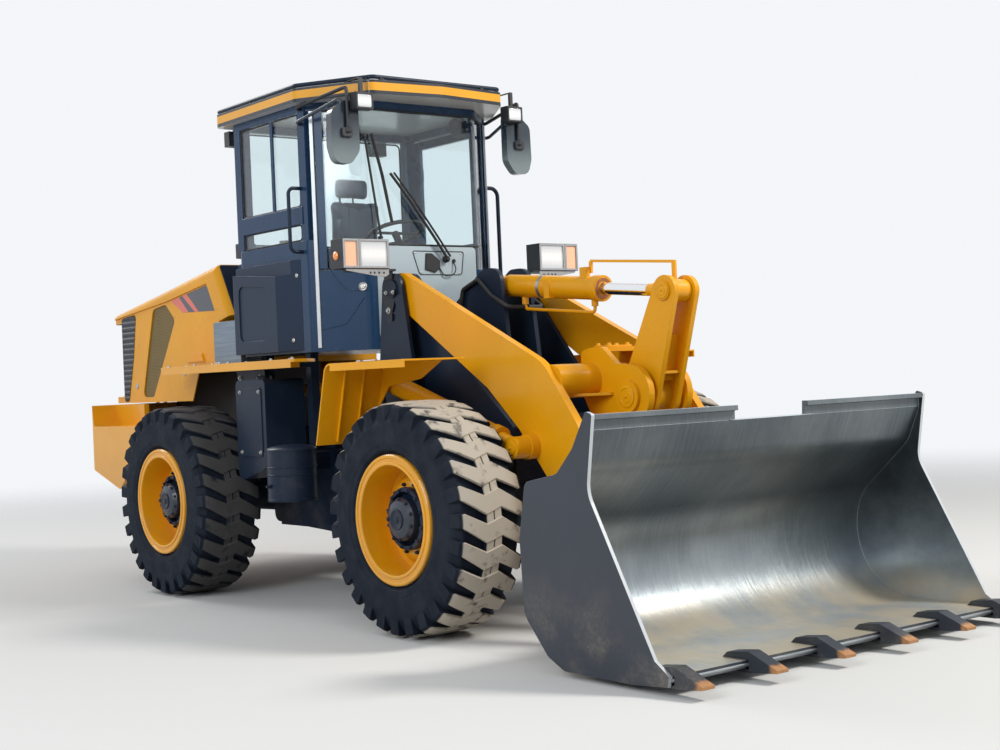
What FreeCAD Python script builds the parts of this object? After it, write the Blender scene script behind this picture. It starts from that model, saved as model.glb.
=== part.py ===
import FreeCAD, Part
import math
import os

V = FreeCAD.Vector
os.makedirs("parts", exist_ok=True)

# Articulated wheel loader with a Z-bar bucket linkage. Millimetres, X forward, Y left, Z up,
# drawn from the articulation pivot on the ground and moved at the end so that X is centred.

# Stance and wheels
WHEELBASE = 2870
TRACK = 1840
TYRE_R = 660
TYRE_W = 445
RIM_R = 317.5
RIM_FLANGE_R = 367
HUB_R = 150
SPINDLE_R = 90
LUG_COUNT = 22
LUG_DEPTH = 40
FRONT_AXLE_X = WHEELBASE / 2
REAR_AXLE_X = -WHEELBASE / 2

# Fits: running shafts, seats face to face, and side play at pins
RUN_FIT = 0.05
SEAT_GAP = 0.3
SIDE_PLAY = 5

# Pin places of the loading linkage, X and Z
ARM_PIVOT = (670, 2000)
TILT_BASE = (1120, 1990)
CRANK_PIVOT = (2360, 1292)
CRANK_TOP = (2590, 1855)
CRANK_FOOT = (1900, 820)
BUCKET_PIVOT = (2590, 300)
LINK_PIVOT = (2590, 560)
LIFT_BASE = (640, 1450)
LIFT_EYE = (1930, 1036)
PIN_R = 35

# Layers of the linkage across the machine, measured out from the middle
ARM_Y = 455
ARM_T = 50
TOWER_IN = 410
TOWER_IN_T = 30
TOWER_OUT = 520
TOWER_OUT_T = 25
LIFT_Y = 615
LIFT_BRACKET = 686
LIFT_BRACKET_T = 20
CRANK_Y = 62
CRANK_T = 32
CARRIER_Y = 125
CARRIER_T = 40
TILT_BRACKET_Y = 95
TILT_BRACKET_T = 30

# Cylinders: barrel and rod radii
LIFT_BARREL_R = 62
LIFT_ROD_R = 32
TILT_BARREL_R = 68
TILT_ROD_R = 35
STEER_BARREL_R = 45
STEER_ROD_R = 22
LIFT_BARREL_END = 1200
TILT_BARREL_END = 890
LIFT_ROD_START = 160
TILT_ROD_START = 400
STEER_BARREL_END = 700
STEER_BASE = (-800, 420)
STEER_EYE = (360, 360)
STEER_Z = 1400
TILT_PORTS_X = (1300, 1930)
HOSE_R = 14

# Articulation joint between the frames
PIVOT_R = 45
PIVOT_TOP_Z = 1010
PIVOT_LOW_Z = 550
PIVOT_LUG_T = 60

# Rear frame and counterweight
RAIL_Y = 330
RAIL_T = 40
RAIL_TOP_Z = 1150
BELLY_Z = 462
ENGINE_Z = 900
ENGINE_X = (-2800, -1580)
CAB_POSTS_X = (-840, -260)
REAR_END_X = -3250
WEIGHT_HALF = 900
WEIGHT_TOP_Z = 1340
WEIGHT_SHELF_Z = 1175
DRAWBAR_R = 20
DRAWBAR_Z = (890, 930, 1010, 1050)

# Running boards beside the cab
BOARD_Y = 940
BOARD_Z = 1600

# Engine hood, hinged at its lower rear edge
HOOD_HALF = 690
HOOD_WALL = 8
HOOD_LIP = 14
HOOD_REAR_X = -3130
HOOD_LOW_Z = 1350
HOOD_HINGE = (-3124, 1362)
HOOD_PIN_R = 8
HOOD_KNUCKLE_R = 15
HOOD_KNUCKLE_Y = (262, 300)
AIR_TANK = (-20, -900)
SHAFT_R = 30
SHAFT_Z = 790
JOINT_HALF = 40
EXHAUST = (-1900, 230)
EXHAUST_R = 45

# Cab
CAB_REAR_X = -900
CAB_SIDE_Y = 740
CAB_CORNER_X = 20
CAB_FRONT_X = 300
CAB_FRONT_Y = 450
CAB_FLOOR_Z = 1640
CAB_SILL_Z = 2360
CAB_SCREEN_Z = 2160
CAB_TOP_Z = 3240
CAB_WALL = 30
GLASS_T = 6
DOOR_GAP = 6
DOOR_X0 = -790
DOOR_X1 = -60
DOOR_Z0 = 1700
DOOR_Z1 = 3185
DOOR_HINGE = (-786, 754)
DOOR_HINGES_Z = (1850, 2900)
DOOR_PIN_R = 5
DOOR_KNUCKLE_R = 9
KNUCKLE_H = 90

# Bucket
BUCKET_HALF = 1243
BUCKET_SIDE_T = 20
BUCKET_SHELL_T = 12
LIP_X = 3690
LIP_Z = 92
EDGE_T = 30
TOOTH_TIP_X = 3870
TOOTH_COUNT = 6

CENTRE_X = (REAR_END_X + TOOTH_TIP_X) / 2


# Shape helpers
def box(x0, x1, y0, y1, z0, z1):
    return Part.makeBox(x1 - x0, y1 - y0, z1 - z0, V(x0, y0, z0))


def rod_y(x, z, radius, y0, y1):
    return Part.makeCylinder(radius, y1 - y0, V(x, y0, z), V(0, 1, 0))


def rod_z(x, y, radius, z0, z1):
    return Part.makeCylinder(radius, z1 - z0, V(x, y, z0), V(0, 0, 1))


def rod_along(start, end, radius):
    line = V(*end) - V(*start)
    return Part.makeCylinder(radius, line.Length, V(*start), line)


def fuse(shapes):
    return shapes[0].multiFuse(shapes[1:]).removeSplitter()


def mirrored(shape):
    return shape.mirror(V(0, 0, 0), V(0, 1, 0))


def both_sides(shape):
    return [shape, mirrored(shape)]


def rounded_wire(rows, place):
    """Closed wire through rows of (u, v, corner radius); place turns u, v into a 3-D point."""
    corners = []
    for i, (u, v, radius) in enumerate(rows):
        here = V(u, v, 0)
        back = V(rows[i - 1][0], rows[i - 1][1], 0) - here
        ahead = V(rows[(i + 1) % len(rows)][0], rows[(i + 1) % len(rows)][1], 0) - here
        back.normalize()
        ahead.normalize()
        if radius <= 0:
            corners.append((here, here, here))
            continue
        half = back.getAngle(ahead) / 2
        reach = radius / math.tan(half)
        bisector = (back + ahead).normalize()
        middle = here + bisector * (radius / math.sin(half) - radius)
        corners.append((here + back * reach, middle, here + ahead * reach))
    edges = []
    for i, (start, middle, end) in enumerate(corners):
        if (start - end).Length > 1e-6:
            edges.append(Part.Arc(place(start.x, start.y), place(middle.x, middle.y),
                                  place(end.x, end.y)).toShape())
        following = corners[(i + 1) % len(corners)][0]
        if (following - end).Length > 1e-6:
            edges.append(Part.makeLine(place(end.x, end.y), place(following.x, following.y)))
    return Part.Wire(edges)


def side_plate(rows, y0, y1):
    """Plate standing fore and aft: rows of (x, z, corner radius), from y0 to y1."""
    wire = rounded_wire(rows, lambda u, v: V(u, y0, v))
    return Part.Face(wire).extrude(V(0, y1 - y0, 0))


def floor_plate(rows, z0, z1):
    """Level plate: rows of (x, y, corner radius), from z0 to z1."""
    wire = rounded_wire(rows, lambda u, v: V(u, v, z0))
    return Part.Face(wire).extrude(V(0, 0, z1 - z0))


def link_plate(p, p_radius, q, q_radius, y0, y1):
    """Tapered link between two round ends at p and q, each (x, z)."""
    span = math.hypot(q[0] - p[0], q[1] - p[1])
    heading = math.atan2(q[1] - p[1], q[0] - p[0])
    lean = math.acos((p_radius - q_radius) / span)

    def on(centre, radius, angle):
        return V(centre[0] + radius * math.cos(angle), y0, centre[1] + radius * math.sin(angle))

    p_left, p_right = on(p, p_radius, heading + lean), on(p, p_radius, heading - lean)
    q_left, q_right = on(q, q_radius, heading + lean), on(q, q_radius, heading - lean)
    edges = [
        Part.Arc(p_left, on(p, p_radius, heading + math.pi), p_right).toShape(),
        Part.makeLine(p_right, q_right),
        Part.Arc(q_right, on(q, q_radius, heading), q_left).toShape(),
        Part.makeLine(q_left, p_left),
    ]
    return Part.Face(Part.Wire(edges)).extrude(V(0, y1 - y0, 0))


def tube(points, radius, bend):
    """Round bar through points, with the same bend at each corner."""
    points = [V(*p) for p in points]
    edges = []
    last = points[0]
    for before, here, after in zip(points, points[1:], points[2:]):
        back = (before - here).normalize()
        ahead = (after - here).normalize()
        half = back.getAngle(ahead) / 2
        reach = bend / math.tan(half)
        middle = here + (back + ahead).normalize() * (bend / math.sin(half) - bend)
        edges.append(Part.makeLine(last, here + back * reach))
        edges.append(Part.Arc(here + back * reach, middle, here + ahead * reach).toShape())
        last = here + ahead * reach
    edges.append(Part.makeLine(last, points[-1]))
    circle = Part.Wire(Part.makeCircle(radius, points[0], points[1] - points[0]))
    return Part.Wire(edges).makePipeShell([circle], True, False)


def ring(rows, axis=V(0, 1, 0)):
    """Turned part about the Y axis: rows of (y, radius, corner radius)."""
    wire = rounded_wire(rows, lambda u, v: V(0, u, v))
    return Part.Face(wire).revolve(V(0, 0, 0), axis, 360)


# Wheels, made for the left side with the hub centre at the origin and +Y outward
def tyre():
    half = TYRE_W / 2
    tread = TYRE_R - LUG_DEPTH
    bead = half - 30
    carcass = ring([
        (-bead, RIM_R + SEAT_GAP, 0), (bead, RIM_R + SEAT_GAP, 0), (bead, RIM_FLANGE_R + 6, 0),
        (half, RIM_FLANGE_R + 50, 60), (half, tread - 55, 60), (half - 40, tread, 0),
        (-half + 40, tread, 0), (-half, tread - 55, 60), (-half, RIM_FLANGE_R + 50, 60),
        (-bead, RIM_FLANGE_R + 6, 0),
    ])
    crown = ring([
        (2, tread - 12, 0), (half - 1, tread - 70, 0), (half, tread - 40, 0),
        (half - 12, TYRE_R - 26, 0), (half - 70, TYRE_R, 0), (2, TYRE_R, 0),
    ])
    # along the tread, across it from the middle
    plan = [(-52, half + 5), (52, half + 5), (52, 125), (6, 10), (-92, 10), (-52, 125)]
    wire = Part.makePolygon([V(s, y, tread - 80) for s, y in plan + plan[:1]])
    lug = Part.Face(wire).extrude(V(0, 0, LUG_DEPTH + 90)).common(crown)
    other = lug.copy()
    other.rotate(V(0, 0, 0), V(0, 0, 1), 180)
    pitch = 360 / LUG_COUNT
    lugs = []
    for i in range(LUG_COUNT):
        for block, turn in ((lug, i * pitch), (other, (i + 0.5) * pitch)):
            copy = block.copy()
            copy.rotate(V(0, 0, 0), V(0, 1, 0), turn)
            lugs.append(copy)
    return carcass.multiFuse(lugs)


def rim():
    """Rim with its dished disc and the planetary hub, turned with chamfered edges."""
    half = TYRE_W / 2
    seat = half - 30
    barrel = ring([
        (-seat - 22, RIM_R - 12, 0), (seat + 22, RIM_R - 12, 0), (seat + 22, RIM_FLANGE_R - 6, 0),
        (seat + 16, RIM_FLANGE_R, 0), (seat + SEAT_GAP, RIM_FLANGE_R, 0), (seat + SEAT_GAP, RIM_R, 0),
        (-seat - SEAT_GAP, RIM_R, 0), (-seat - SEAT_GAP, RIM_FLANGE_R, 0),
        (-seat - 16, RIM_FLANGE_R, 0), (-seat - 22, RIM_FLANGE_R - 6, 0),
    ])
    disc = ring([
        (60, HUB_R - 10, 0), (80, HUB_R - 10, 0), (80, 206, 0), (66, 230, 0), (32, 254, 0),
        (20, 274, 0), (20, RIM_R - 6, 0), (0, RIM_R - 6, 0), (0, 262, 0), (16, 238, 0), (48, 216, 0),
        (60, 196, 0),
    ])
    hub = ring([
        (-110, SPINDLE_R + RUN_FIT, 0), (-110, HUB_R, 0), (84, HUB_R, 0), (95, HUB_R - 11, 0),
        (112, 126, 0), (150, 121, 0), (172, 104, 0), (182, 70, 0), (182, 0.01, 0), (-12, 0.01, 0),
        (-12, SPINDLE_R + RUN_FIT, 0),
    ])
    return fuse([barrel, disc, hub])


def axle(x):
    """Axle housing with its differential, the brake flanges and the bare spindle ends."""
    middle = Part.makeSphere(205, V(x, 0, TYRE_R))
    nose = Part.makeCone(150, 90, 260, V(x, 0, TYRE_R), V(-math.copysign(1, x), 0, 0))
    shapes = [middle, nose]
    for side in (-1, 1):
        out = V(0, side, 0)
        shapes += [
            Part.makeCone(150, 95, 420, V(x, 120 * side, TYRE_R), out),
            Part.makeCylinder(95, 200, V(x, 520 * side, TYRE_R), out),
            Part.makeCylinder(185, 60, V(x, 720 * side, TYRE_R), out),
            Part.makeCylinder(SPINDLE_R, 125, V(x, 778 * side, TYRE_R), out),
        ]
    return fuse(shapes)


def axle_pads(x, frame_z):
    """Seats that carry the frame on the axle housing."""
    return [box(x - 110, x + 110, y - 60, y + 60, TYRE_R + 60, frame_z) for y in (-330, 330)]


def front_axle():
    """Front axle with the propeller shaft that reaches back to the pivot."""
    shaft = [rod_along((JOINT_HALF, 0, SHAFT_Z), (FRONT_AXLE_X - 250, 0, TYRE_R), SHAFT_R),
             rod_along((JOINT_HALF, 0, SHAFT_Z), (JOINT_HALF + 30, 0, SHAFT_Z - 3), SHAFT_R + 14)]
    return [fuse([axle(FRONT_AXLE_X)] + axle_pads(FRONT_AXLE_X, 820) + shaft)]


def rear_axle():
    return [fuse([axle(REAR_AXLE_X)] + axle_pads(REAR_AXLE_X, 820))]


# Front frame: tower plates that sandwich the arms, tilt bracket, chassis and pivot lugs
def front_frame():
    ax, az = ARM_PIVOT
    tx, tz = TILT_BASE
    lx, lz = LIFT_BASE
    shapes = []
    inner = side_plate([
        (480, 1240, 0), (500, 1600, 0), (ax - 90, az + 95, 85), (ax + 95, az + 90, 85),
        (1265, 1490, 0), (1400, 1372, 0), (1680, 1140, 40), (1650, 950, 0), (1180, 900, 120),
        (900, 1040, 0),
    ], TOWER_IN, TOWER_IN + TOWER_IN_T)
    outer = side_plate([
        (470, 1250, 0), (512, 1600, 0), (ax - 95, az + 95, 90), (ax + 90, az + 95, 90),
        (850, 1580, 0), (880, 1250, 0),
    ], TOWER_OUT, TOWER_OUT + TOWER_OUT_T)
    bracket = side_plate([
        (500, 1240, 0), (500, 1470, 0), (lx - 40, lz + 80, 60), (lx + 60, lz + 80, 60),
        (790, 1240, 0),
    ], LIFT_BRACKET, LIFT_BRACKET + LIFT_BRACKET_T)
    shelf = box(480, 900, TOWER_IN, LIFT_BRACKET + LIFT_BRACKET_T, 1225, 1250)
    rail = side_plate([
        (140, 480, 30), (900, 480, 60), (1000, 820, 0), (1640, 820, 40), (1660, 1140, 60),
        (900, 1180, 0), (140, 1080, 30),
    ], 270, 300)
    tilt = side_plate([
        (560, 1180, 0), (600, 1800, 0), (tx - 75, tz + 105, 100), (tx + 95, tz + 105, 95),
        (tx + 130, 1800, 60), (1330, 1180, 0),
    ], TILT_BRACKET_Y, TILT_BRACKET_Y + TILT_BRACKET_T)
    arm_pin = rod_y(ax, az, PIN_R, TOWER_IN, TOWER_OUT + TOWER_OUT_T)
    arm_cap = rod_y(ax, az, PIN_R + 22, TOWER_OUT + TOWER_OUT_T - 1, TOWER_OUT + TOWER_OUT_T + 10)
    lift_pin = rod_y(lx, lz, PIN_R, TOWER_OUT, LIFT_BRACKET + LIFT_BRACKET_T)
    for piece in (inner, outer, bracket, shelf, rail, tilt, arm_pin, arm_cap, lift_pin):
        shapes += both_sides(piece)
    shapes += [
        rod_y(tx, tz, PIN_R, -TILT_BRACKET_Y - 10, TILT_BRACKET_Y + 10),
        box(520, 545, -TOWER_IN, TOWER_IN, 1200, 1560),
        box(560, 1640, -TOWER_IN, TOWER_IN, 1160, 1190),
        box(1000, 1640, -TOWER_IN, TOWER_IN, 820, 845),
        box(1630, 1655, -TOWER_IN, TOWER_IN, 835, 1140),
        box(140, 170, -300, 300, 480, 1080),
        box(160, 900, -300, 300, 480, 505),
    ]
    for z in (PIVOT_TOP_Z, PIVOT_LOW_Z):
        lug = floor_plate([(-75, 75, 70), (-75, -75, 70), (160, -220, 0), (160, 220, 0)],
                          z - PIVOT_LUG_T / 2, z + PIVOT_LUG_T / 2)
        shapes.append(lug)
    sx, sy = STEER_EYE
    for z in (STEER_Z - 60, STEER_Z + 45):
        ear = floor_plate([(sx - 50, sy + 50, 48), (sx - 50, sy - 50, 48), (530, sy - 70, 0),
                           (530, sy + 60, 0)], z, z + 15)
        shapes += both_sides(ear)
    frame = fuse(shapes)
    bores = [rod_z(0, 0, PIVOT_R + RUN_FIT, 400, 1200),
             rod_z(FRONT_AXLE_X, 0, 240, 800, 900),
             box(100, 200, -90, 90, 690, 880)]
    # keyhole recess in each outer tower plate
    for side in (-1, 1):
        for x, z, radius in ((ax, az - 110, 38), (ax + 2, az - 175, 24)):
            hole = rod_y(x, z, radius, TOWER_OUT + TOWER_OUT_T - 10, TOWER_OUT + TOWER_OUT_T + 30)
            bores.append(hole if side > 0 else mirrored(hole))
    return [frame.cut(bores)]


def front_fenders():
    sheet = side_plate([
        (1600, 1550, 0), (785, 1550, 70), (650, 1070, 0), (660, 1067, 0), (793, 1540, 60),
        (1600, 1540, 0),
    ], 706, 1125)
    ribs = [side_plate([(668, 1090, 0), (795, 1541, 0), (815, 1541, 0), (684, 1080, 0)], y, y + 8)
            for y in (850, 985)]
    skirt = side_plate([(700, 1250, 0), (792, 1545, 0), (1400, 1545, 0), (1180, 1440, 120),
                        (840, 1400, 0)], 706 + SEAT_GAP, 714)
    lip = box(840, 1600, 1117, 1125, 1505, 1550)
    return both_sides(fuse([sheet, skirt, lip] + ribs))


def headlamps():
    housing = box(600, 735, 600, 930, 2120, 2300)
    housing = housing.cut(box(722, 740, 608, 922, 2130, 2290))
    bracket = box(600, 725, TOWER_OUT + TOWER_OUT_T + SEAT_GAP, 860, 2106, 2120)
    leg = box(600, 690, TOWER_OUT + TOWER_OUT_T + SEAT_GAP, 552, 2060, 2110)
    return both_sides(fuse([housing, bracket, leg]))


def lamp_glass():
    lens = box(722 + SEAT_GAP, 732, 610, 815, 2132, 2288)
    turn = box(722 + SEAT_GAP, 732, 820, 920, 2132, 2288)
    return both_sides(lens) + both_sides(turn)


# Loading linkage
def boom():
    ax, az = ARM_PIVOT
    cx, cz = BUCKET_PIVOT
    ex, ez = CRANK_PIVOT
    lx, lz = LIFT_EYE
    arm = side_plate([
        (ax - 110, az - 130, 100), (ax - 110, az + 95, 100), (ax + 70, az + 95, 60),
        (2040, 1500, 300), (2330, 1130, 350), (2500, 600, 0), (2300, 540, 0), (2030, 880, 200),
        (1815, 1130, 100), (1540, 1368, 100), (ax + 80, az - 145, 60),
    ], ARM_Y, ARM_Y + ARM_T)
    foot = link_plate((2398, 590), 106, BUCKET_PIVOT, 80, ARM_Y, ARM_Y + ARM_T)
    arm_boss = rod_y(ax, az, 75, ARM_Y - 9, ARM_Y + ARM_T + 9)
    foot_boss = rod_y(cx, cz, 75, ARM_Y - 9, ARM_Y + ARM_T + 9)
    lift_boss = rod_y(lx, lz, 70, ARM_Y + ARM_T - 1, LIFT_Y - 50 - 0.5)
    carrier = side_plate([
        (1975, 1320, 60), (1975, 1560, 40), (2150, 1572, 40), (2260, 1475, 60),
        (ex + 160, ez + 160, 159), (ex + 160, ez - 160, 159), (2180, 1150, 60), (2040, 1200, 60),
    ], CARRIER_Y, CARRIER_Y + CARRIER_T)
    carrier_boss = rod_y(ex, ez, 90, CARRIER_Y + CARRIER_T - 1, CARRIER_Y + CARRIER_T + 22)
    shapes = []
    for piece in (arm, foot, arm_boss, foot_boss, lift_boss, carrier, carrier_boss):
        shapes += both_sides(piece)
    shapes += [
        rod_y(2050, 1390, 95, -ARM_Y - 1, ARM_Y + 1),
        rod_y(ex, ez, PIN_R + 10, -CARRIER_Y - 5, CARRIER_Y + 5),
        box(1990, 2140, -CARRIER_Y - 1, CARRIER_Y + 1, 1545, 1571),
    ]
    # level gussets between the cross tube and the carrier
    rib = floor_plate([(2050, CARRIER_Y + 1, 0), (2235, CARRIER_Y + 1, 0), (2235, CARRIER_Y + 55, 20),
                       (2060, 380, 0)], 1302, 1318)
    shapes += both_sides(rib)
    beam = fuse(shapes)
    bores = []
    for y0, y1 in ((ARM_Y - 20, ARM_Y + ARM_T + 20),):
        bores += both_sides(rod_y(ax, az, PIN_R + RUN_FIT, y0, y1))
        bores += both_sides(rod_y(cx, cz, PIN_R + RUN_FIT, y0, y1))
    return [beam.cut(bores)]


def bell_crank():
    shapes = []
    ex, ez = CRANK_PIVOT
    plate_y = (CRANK_Y, CRANK_Y + CRANK_T)
    plate = fuse([link_plate(CRANK_TOP, 84, CRANK_PIVOT, 140, *plate_y),
                  link_plate(CRANK_PIVOT, 140, CRANK_FOOT, 72, *plate_y)])
    boss = rod_y(ex, ez, 85, CRANK_Y + CRANK_T - 1, CARRIER_Y - SIDE_PLAY)
    top_cap = rod_y(*CRANK_TOP, 52, CRANK_Y + CRANK_T - 1, CRANK_Y + CRANK_T + 14)
    foot_cap = rod_y(*CRANK_FOOT, 48, CRANK_Y + CRANK_T - 1, CRANK_Y + CRANK_T + 12)
    for piece in (plate, boss, top_cap, foot_cap):
        shapes += both_sides(piece)
    # web between the two plates, and the sleeve round the pivot pin
    web = side_plate([(2440, 1380, 0), (2500, 1620, 0), (2530, 1620, 0), (2475, 1370, 0)],
                     -CRANK_Y - 1, CRANK_Y + 1)
    # level plate low on the front of the web
    shelf = side_plate([(2470, 1396, 0), (2470, 1412, 0), (2530, 1424, 0), (2530, 1408, 0)],
                       -CRANK_Y - 1, CRANK_Y + 1)
    shapes += [web, shelf, rod_y(ex, ez, 100, -CRANK_Y - 1, CRANK_Y + 1)]
    crank = fuse(shapes)
    return [crank.cut(rod_y(ex, ez, PIN_R + 10 + RUN_FIT, -CARRIER_Y, CARRIER_Y))]


def bucket_link():
    half = CRANK_Y - SIDE_PLAY - 7
    bar = link_plate(CRANK_FOOT, 66, LINK_PIVOT, 66, -half, half)
    return [bar.cut(rod_y(*LINK_PIVOT, PIN_R + RUN_FIT, -half - 5, half + 5))]


# Inside profile of the bucket shell from the lip back, up and forward: x, z, corner radius
SHELL = [(LIP_X, LIP_Z, 0), (2735, LIP_Z, 380), (2770, 640, 300), (3146, 975, 220), (3228, 1165, 0)]


def offset_rows(rows, distance):
    """The same open profile moved to its left by a distance, corner radii following."""
    moved = []
    for i, (x, z, radius) in enumerate(rows):
        ways = []
        for a, b in ((i - 1, i), (i, i + 1)):
            if a >= 0 and b < len(rows):
                way = V(rows[b][0] - rows[a][0], rows[b][1] - rows[a][1], 0)
                ways.append(way.normalize())
        normals = [V(-way.y, way.x, 0) for way in ways]
        mean = (normals[0] + normals[-1]).normalize()
        scale = distance / mean.dot(normals[0])
        turn = math.copysign(1, -ways[0].cross(ways[-1]).z)
        moved.append((x + mean.x * scale, z + mean.y * scale, radius and radius + turn * distance))
    return moved


def bucket():
    cx, cz = BUCKET_PIVOT
    jx, jz = LINK_PIVOT
    outside = offset_rows(SHELL, BUCKET_SHELL_T)
    shell = side_plate(SHELL + outside[::-1], -BUCKET_HALF + 5, BUCKET_HALF - 5)
    side = side_plate([
        (3214, 1253, 12), (3110, 1080, 60), (2990, 960, 60), (2750, 915, 40), (2693, 640, 60),
        (2706, 270, 120), (2873, 85, 60), (2990, 30, 60), (3446, 26, 0), (LIP_X - 10, LIP_Z - 50, 0),
        (LIP_X, LIP_Z, 0), (3604, 150, 0), (3200, 880, 160), (3258, 1240, 12),
    ], BUCKET_HALF - BUCKET_SIDE_T, BUCKET_HALF)
    guard = side_plate([(3206, 1120, 0), (3212, 1238, 0), (3250, 1238, 0), (3252, 1214, 0),
                        (3228, 1210, 0), (3224, 1120, 0)], 262, BUCKET_HALF - 5)
    visor = side_plate([(3214, 1120, 0), (3218, 1168, 0), (3262, 1166, 0), (3262, 1146, 0),
                        (3236, 1146, 0), (3232, 1120, 0)], -310, 310)
    shapes = [shell, visor] + both_sides(side) + both_sides(guard)
    # ears either side of each arm, with the hinge pin through them
    for y0 in (ARM_Y - 46, ARM_Y + ARM_T + 16):
        ear = side_plate([
            (cx - 75, cz + 70, 74), (cx - 75, cz - 75, 74), (cx + 110, cz - 75, 60), (2850, 110, 0),
            (2960, 96, 0), (2900, 250, 0), (2790, 420, 0), (2800, 640, 0), (2745, 640, 40),
        ], y0, y0 + 30)
        shapes += both_sides(ear)
    pin = rod_y(cx, cz, PIN_R, ARM_Y - 46, ARM_Y + ARM_T + 46)
    cap = rod_y(cx, cz, PIN_R + 15, ARM_Y + ARM_T + 45, ARM_Y + ARM_T + 56)
    shapes += both_sides(pin) + both_sides(cap)
    # lugs for the link, with their pin
    lug = side_plate([
        (jx - 70, jz + 68, 68), (jx - 70, jz - 75, 68), (jx + 60, jz - 120, 30), (2790, 400, 0),
        (2810, 640, 0), (2900, 790, 0), (2880, 800, 20), (jx + 50, jz + 78, 60),
    ], CRANK_Y, CRANK_Y + CRANK_T)
    shapes += both_sides(lug)
    shapes.append(rod_y(jx, jz, PIN_R, -CRANK_Y - CRANK_T, CRANK_Y + CRANK_T))
    body = fuse(shapes)
    # clear the inside of the shell of the roots of ears and lugs
    room = side_plate(SHELL + [(LIP_X, 1165, 0)], -BUCKET_HALF + BUCKET_SIDE_T,
                      BUCKET_HALF - BUCKET_SIDE_T)
    return [body.cut(room)]


def cutting_edge():
    top = LIP_Z - BUCKET_SHELL_T - SEAT_GAP
    half = BUCKET_HALF - BUCKET_SIDE_T - 1
    return [side_plate([
        (LIP_X - 255, top, 0), (LIP_X + 10, top, 0), (LIP_X + 10, top - 8, 0),
        (LIP_X - 25, top - EDGE_T, 0), (LIP_X - 255, top - EDGE_T, 0),
    ], -half, half)]


def bucket_teeth():
    top = LIP_Z + SEAT_GAP
    low = LIP_Z - BUCKET_SHELL_T - EDGE_T - 2 * SEAT_GAP
    root = LIP_X + 10 + SEAT_GAP
    teeth = []
    pitch = (2 * BUCKET_HALF - 2 * BUCKET_SIDE_T - 80) / (TOOTH_COUNT - 1)
    for i in range(TOOTH_COUNT):
        y = -BUCKET_HALF + BUCKET_SIDE_T + 40 + i * pitch
        tooth = side_plate([
            (LIP_X - 150, top, 0), (LIP_X - 120, top + 26, 15), (LIP_X + 10, top + 40, 30),
            (TOOTH_TIP_X, top - 28, 0), (TOOTH_TIP_X, top - 42, 0), (LIP_X + 20, low - 14, 0),
            (LIP_X - 110, low - 14, 0), (LIP_X - 110, low, 0), (root, low, 0), (root, top, 0),
        ], y - 38, y + 38)
        teeth.append(tooth)
    return teeth


# Cylinders: a barrel with its base eye, and a rod with its own pin in the eye
def cylinder(base, eye, y, barrel_r, rod_r, barrel_end, rod_start, base_half, eye_half, fittings=()):
    start = V(base[0], y, base[1])
    line = V(eye[0], y, eye[1]) - start
    way = V(line).normalize()
    barrel = Part.makeCylinder(barrel_r, barrel_end - 45, start + way * 45, way)
    head = Part.makeCylinder(barrel_r + 8, 55, start + way * (barrel_end - 56), way)
    foot = rod_y(base[0], base[1], 60, y - base_half, y + base_half)
    body = fuse([barrel, head, foot] + list(fittings))
    bore = Part.makeCylinder(rod_r + RUN_FIT, barrel_end, start + way * 75, way)
    body = body.cut([bore, rod_y(base[0], base[1], PIN_R + RUN_FIT, y - 200, y + 200)])
    rod = Part.makeCylinder(rod_r, line.Length - 40 - rod_start, start + way * rod_start, way)
    shank = Part.makeCylinder(rod_r + 12, 110, start + way * (line.Length - 150), way)
    end = rod_y(eye[0], eye[1], 62, y - eye_half, y + eye_half)
    return body, fuse([rod, shank, end])


def lift_pair():
    body, rod = cylinder(LIFT_BASE, LIFT_EYE, LIFT_Y, LIFT_BARREL_R, LIFT_ROD_R,
                         LIFT_BARREL_END, LIFT_ROD_START, 40, 50)
    return both_sides(body), both_sides(rod)


def tilt_pair():
    """Tilt cylinder; the rod's eye carries the flat bar that shows when the bucket is level."""
    near, far = TILT_PORTS_X
    fittings = [
        rod_z(near, 0, 20, 1862, 1960), rod_z(far, 0, 20, 1812, 1900),
        tube([(near, 0, 1872), (near, 0, 1835), (far, 0, 1775), (far, 0, 1822)], 10, 25),
        box(1850, 1905, -38, -8, 1960, 2040),
        box(1560, 1610, -72, 72, 1880, 1980),
    ]
    body, rod = cylinder(TILT_BASE, CRANK_TOP, 0, TILT_BARREL_R, TILT_ROD_R, TILT_BARREL_END,
                         TILT_ROD_START, TILT_BRACKET_Y - SIDE_PLAY, CRANK_Y - SIDE_PLAY, fittings)
    bar = side_plate([
        (1890, 2004, 0), (1890, 2066, 0), (1905, 2082, 0), (2588, 2022, 0), (2588, 1900, 0),
        (2562, 1900, 0), (2562, 2008, 0), (1912, 2066, 0), (1908, 2004, 0),
    ], 0, 14)
    return [body], [fuse([rod, bar])]


def tilt_hoses():
    """Hoses from under the tilt cylinder, round the bracket's edge and back along its plates."""
    near = TILT_PORTS_X[0]
    hoses = []
    for side in (-1, 1):
        y = side * (TILT_BRACKET_Y + TILT_BRACKET_T + HOSE_R + SEAT_GAP)
        hoses.append(tube([(near, side * (HOSE_R + 4), 1846), (near, y, 1846), (1150, y, 1925),
                           (1020, y, 2035), (860, y, 1980), (780, y, 1700)], HOSE_R, 40))
    return hoses


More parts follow.
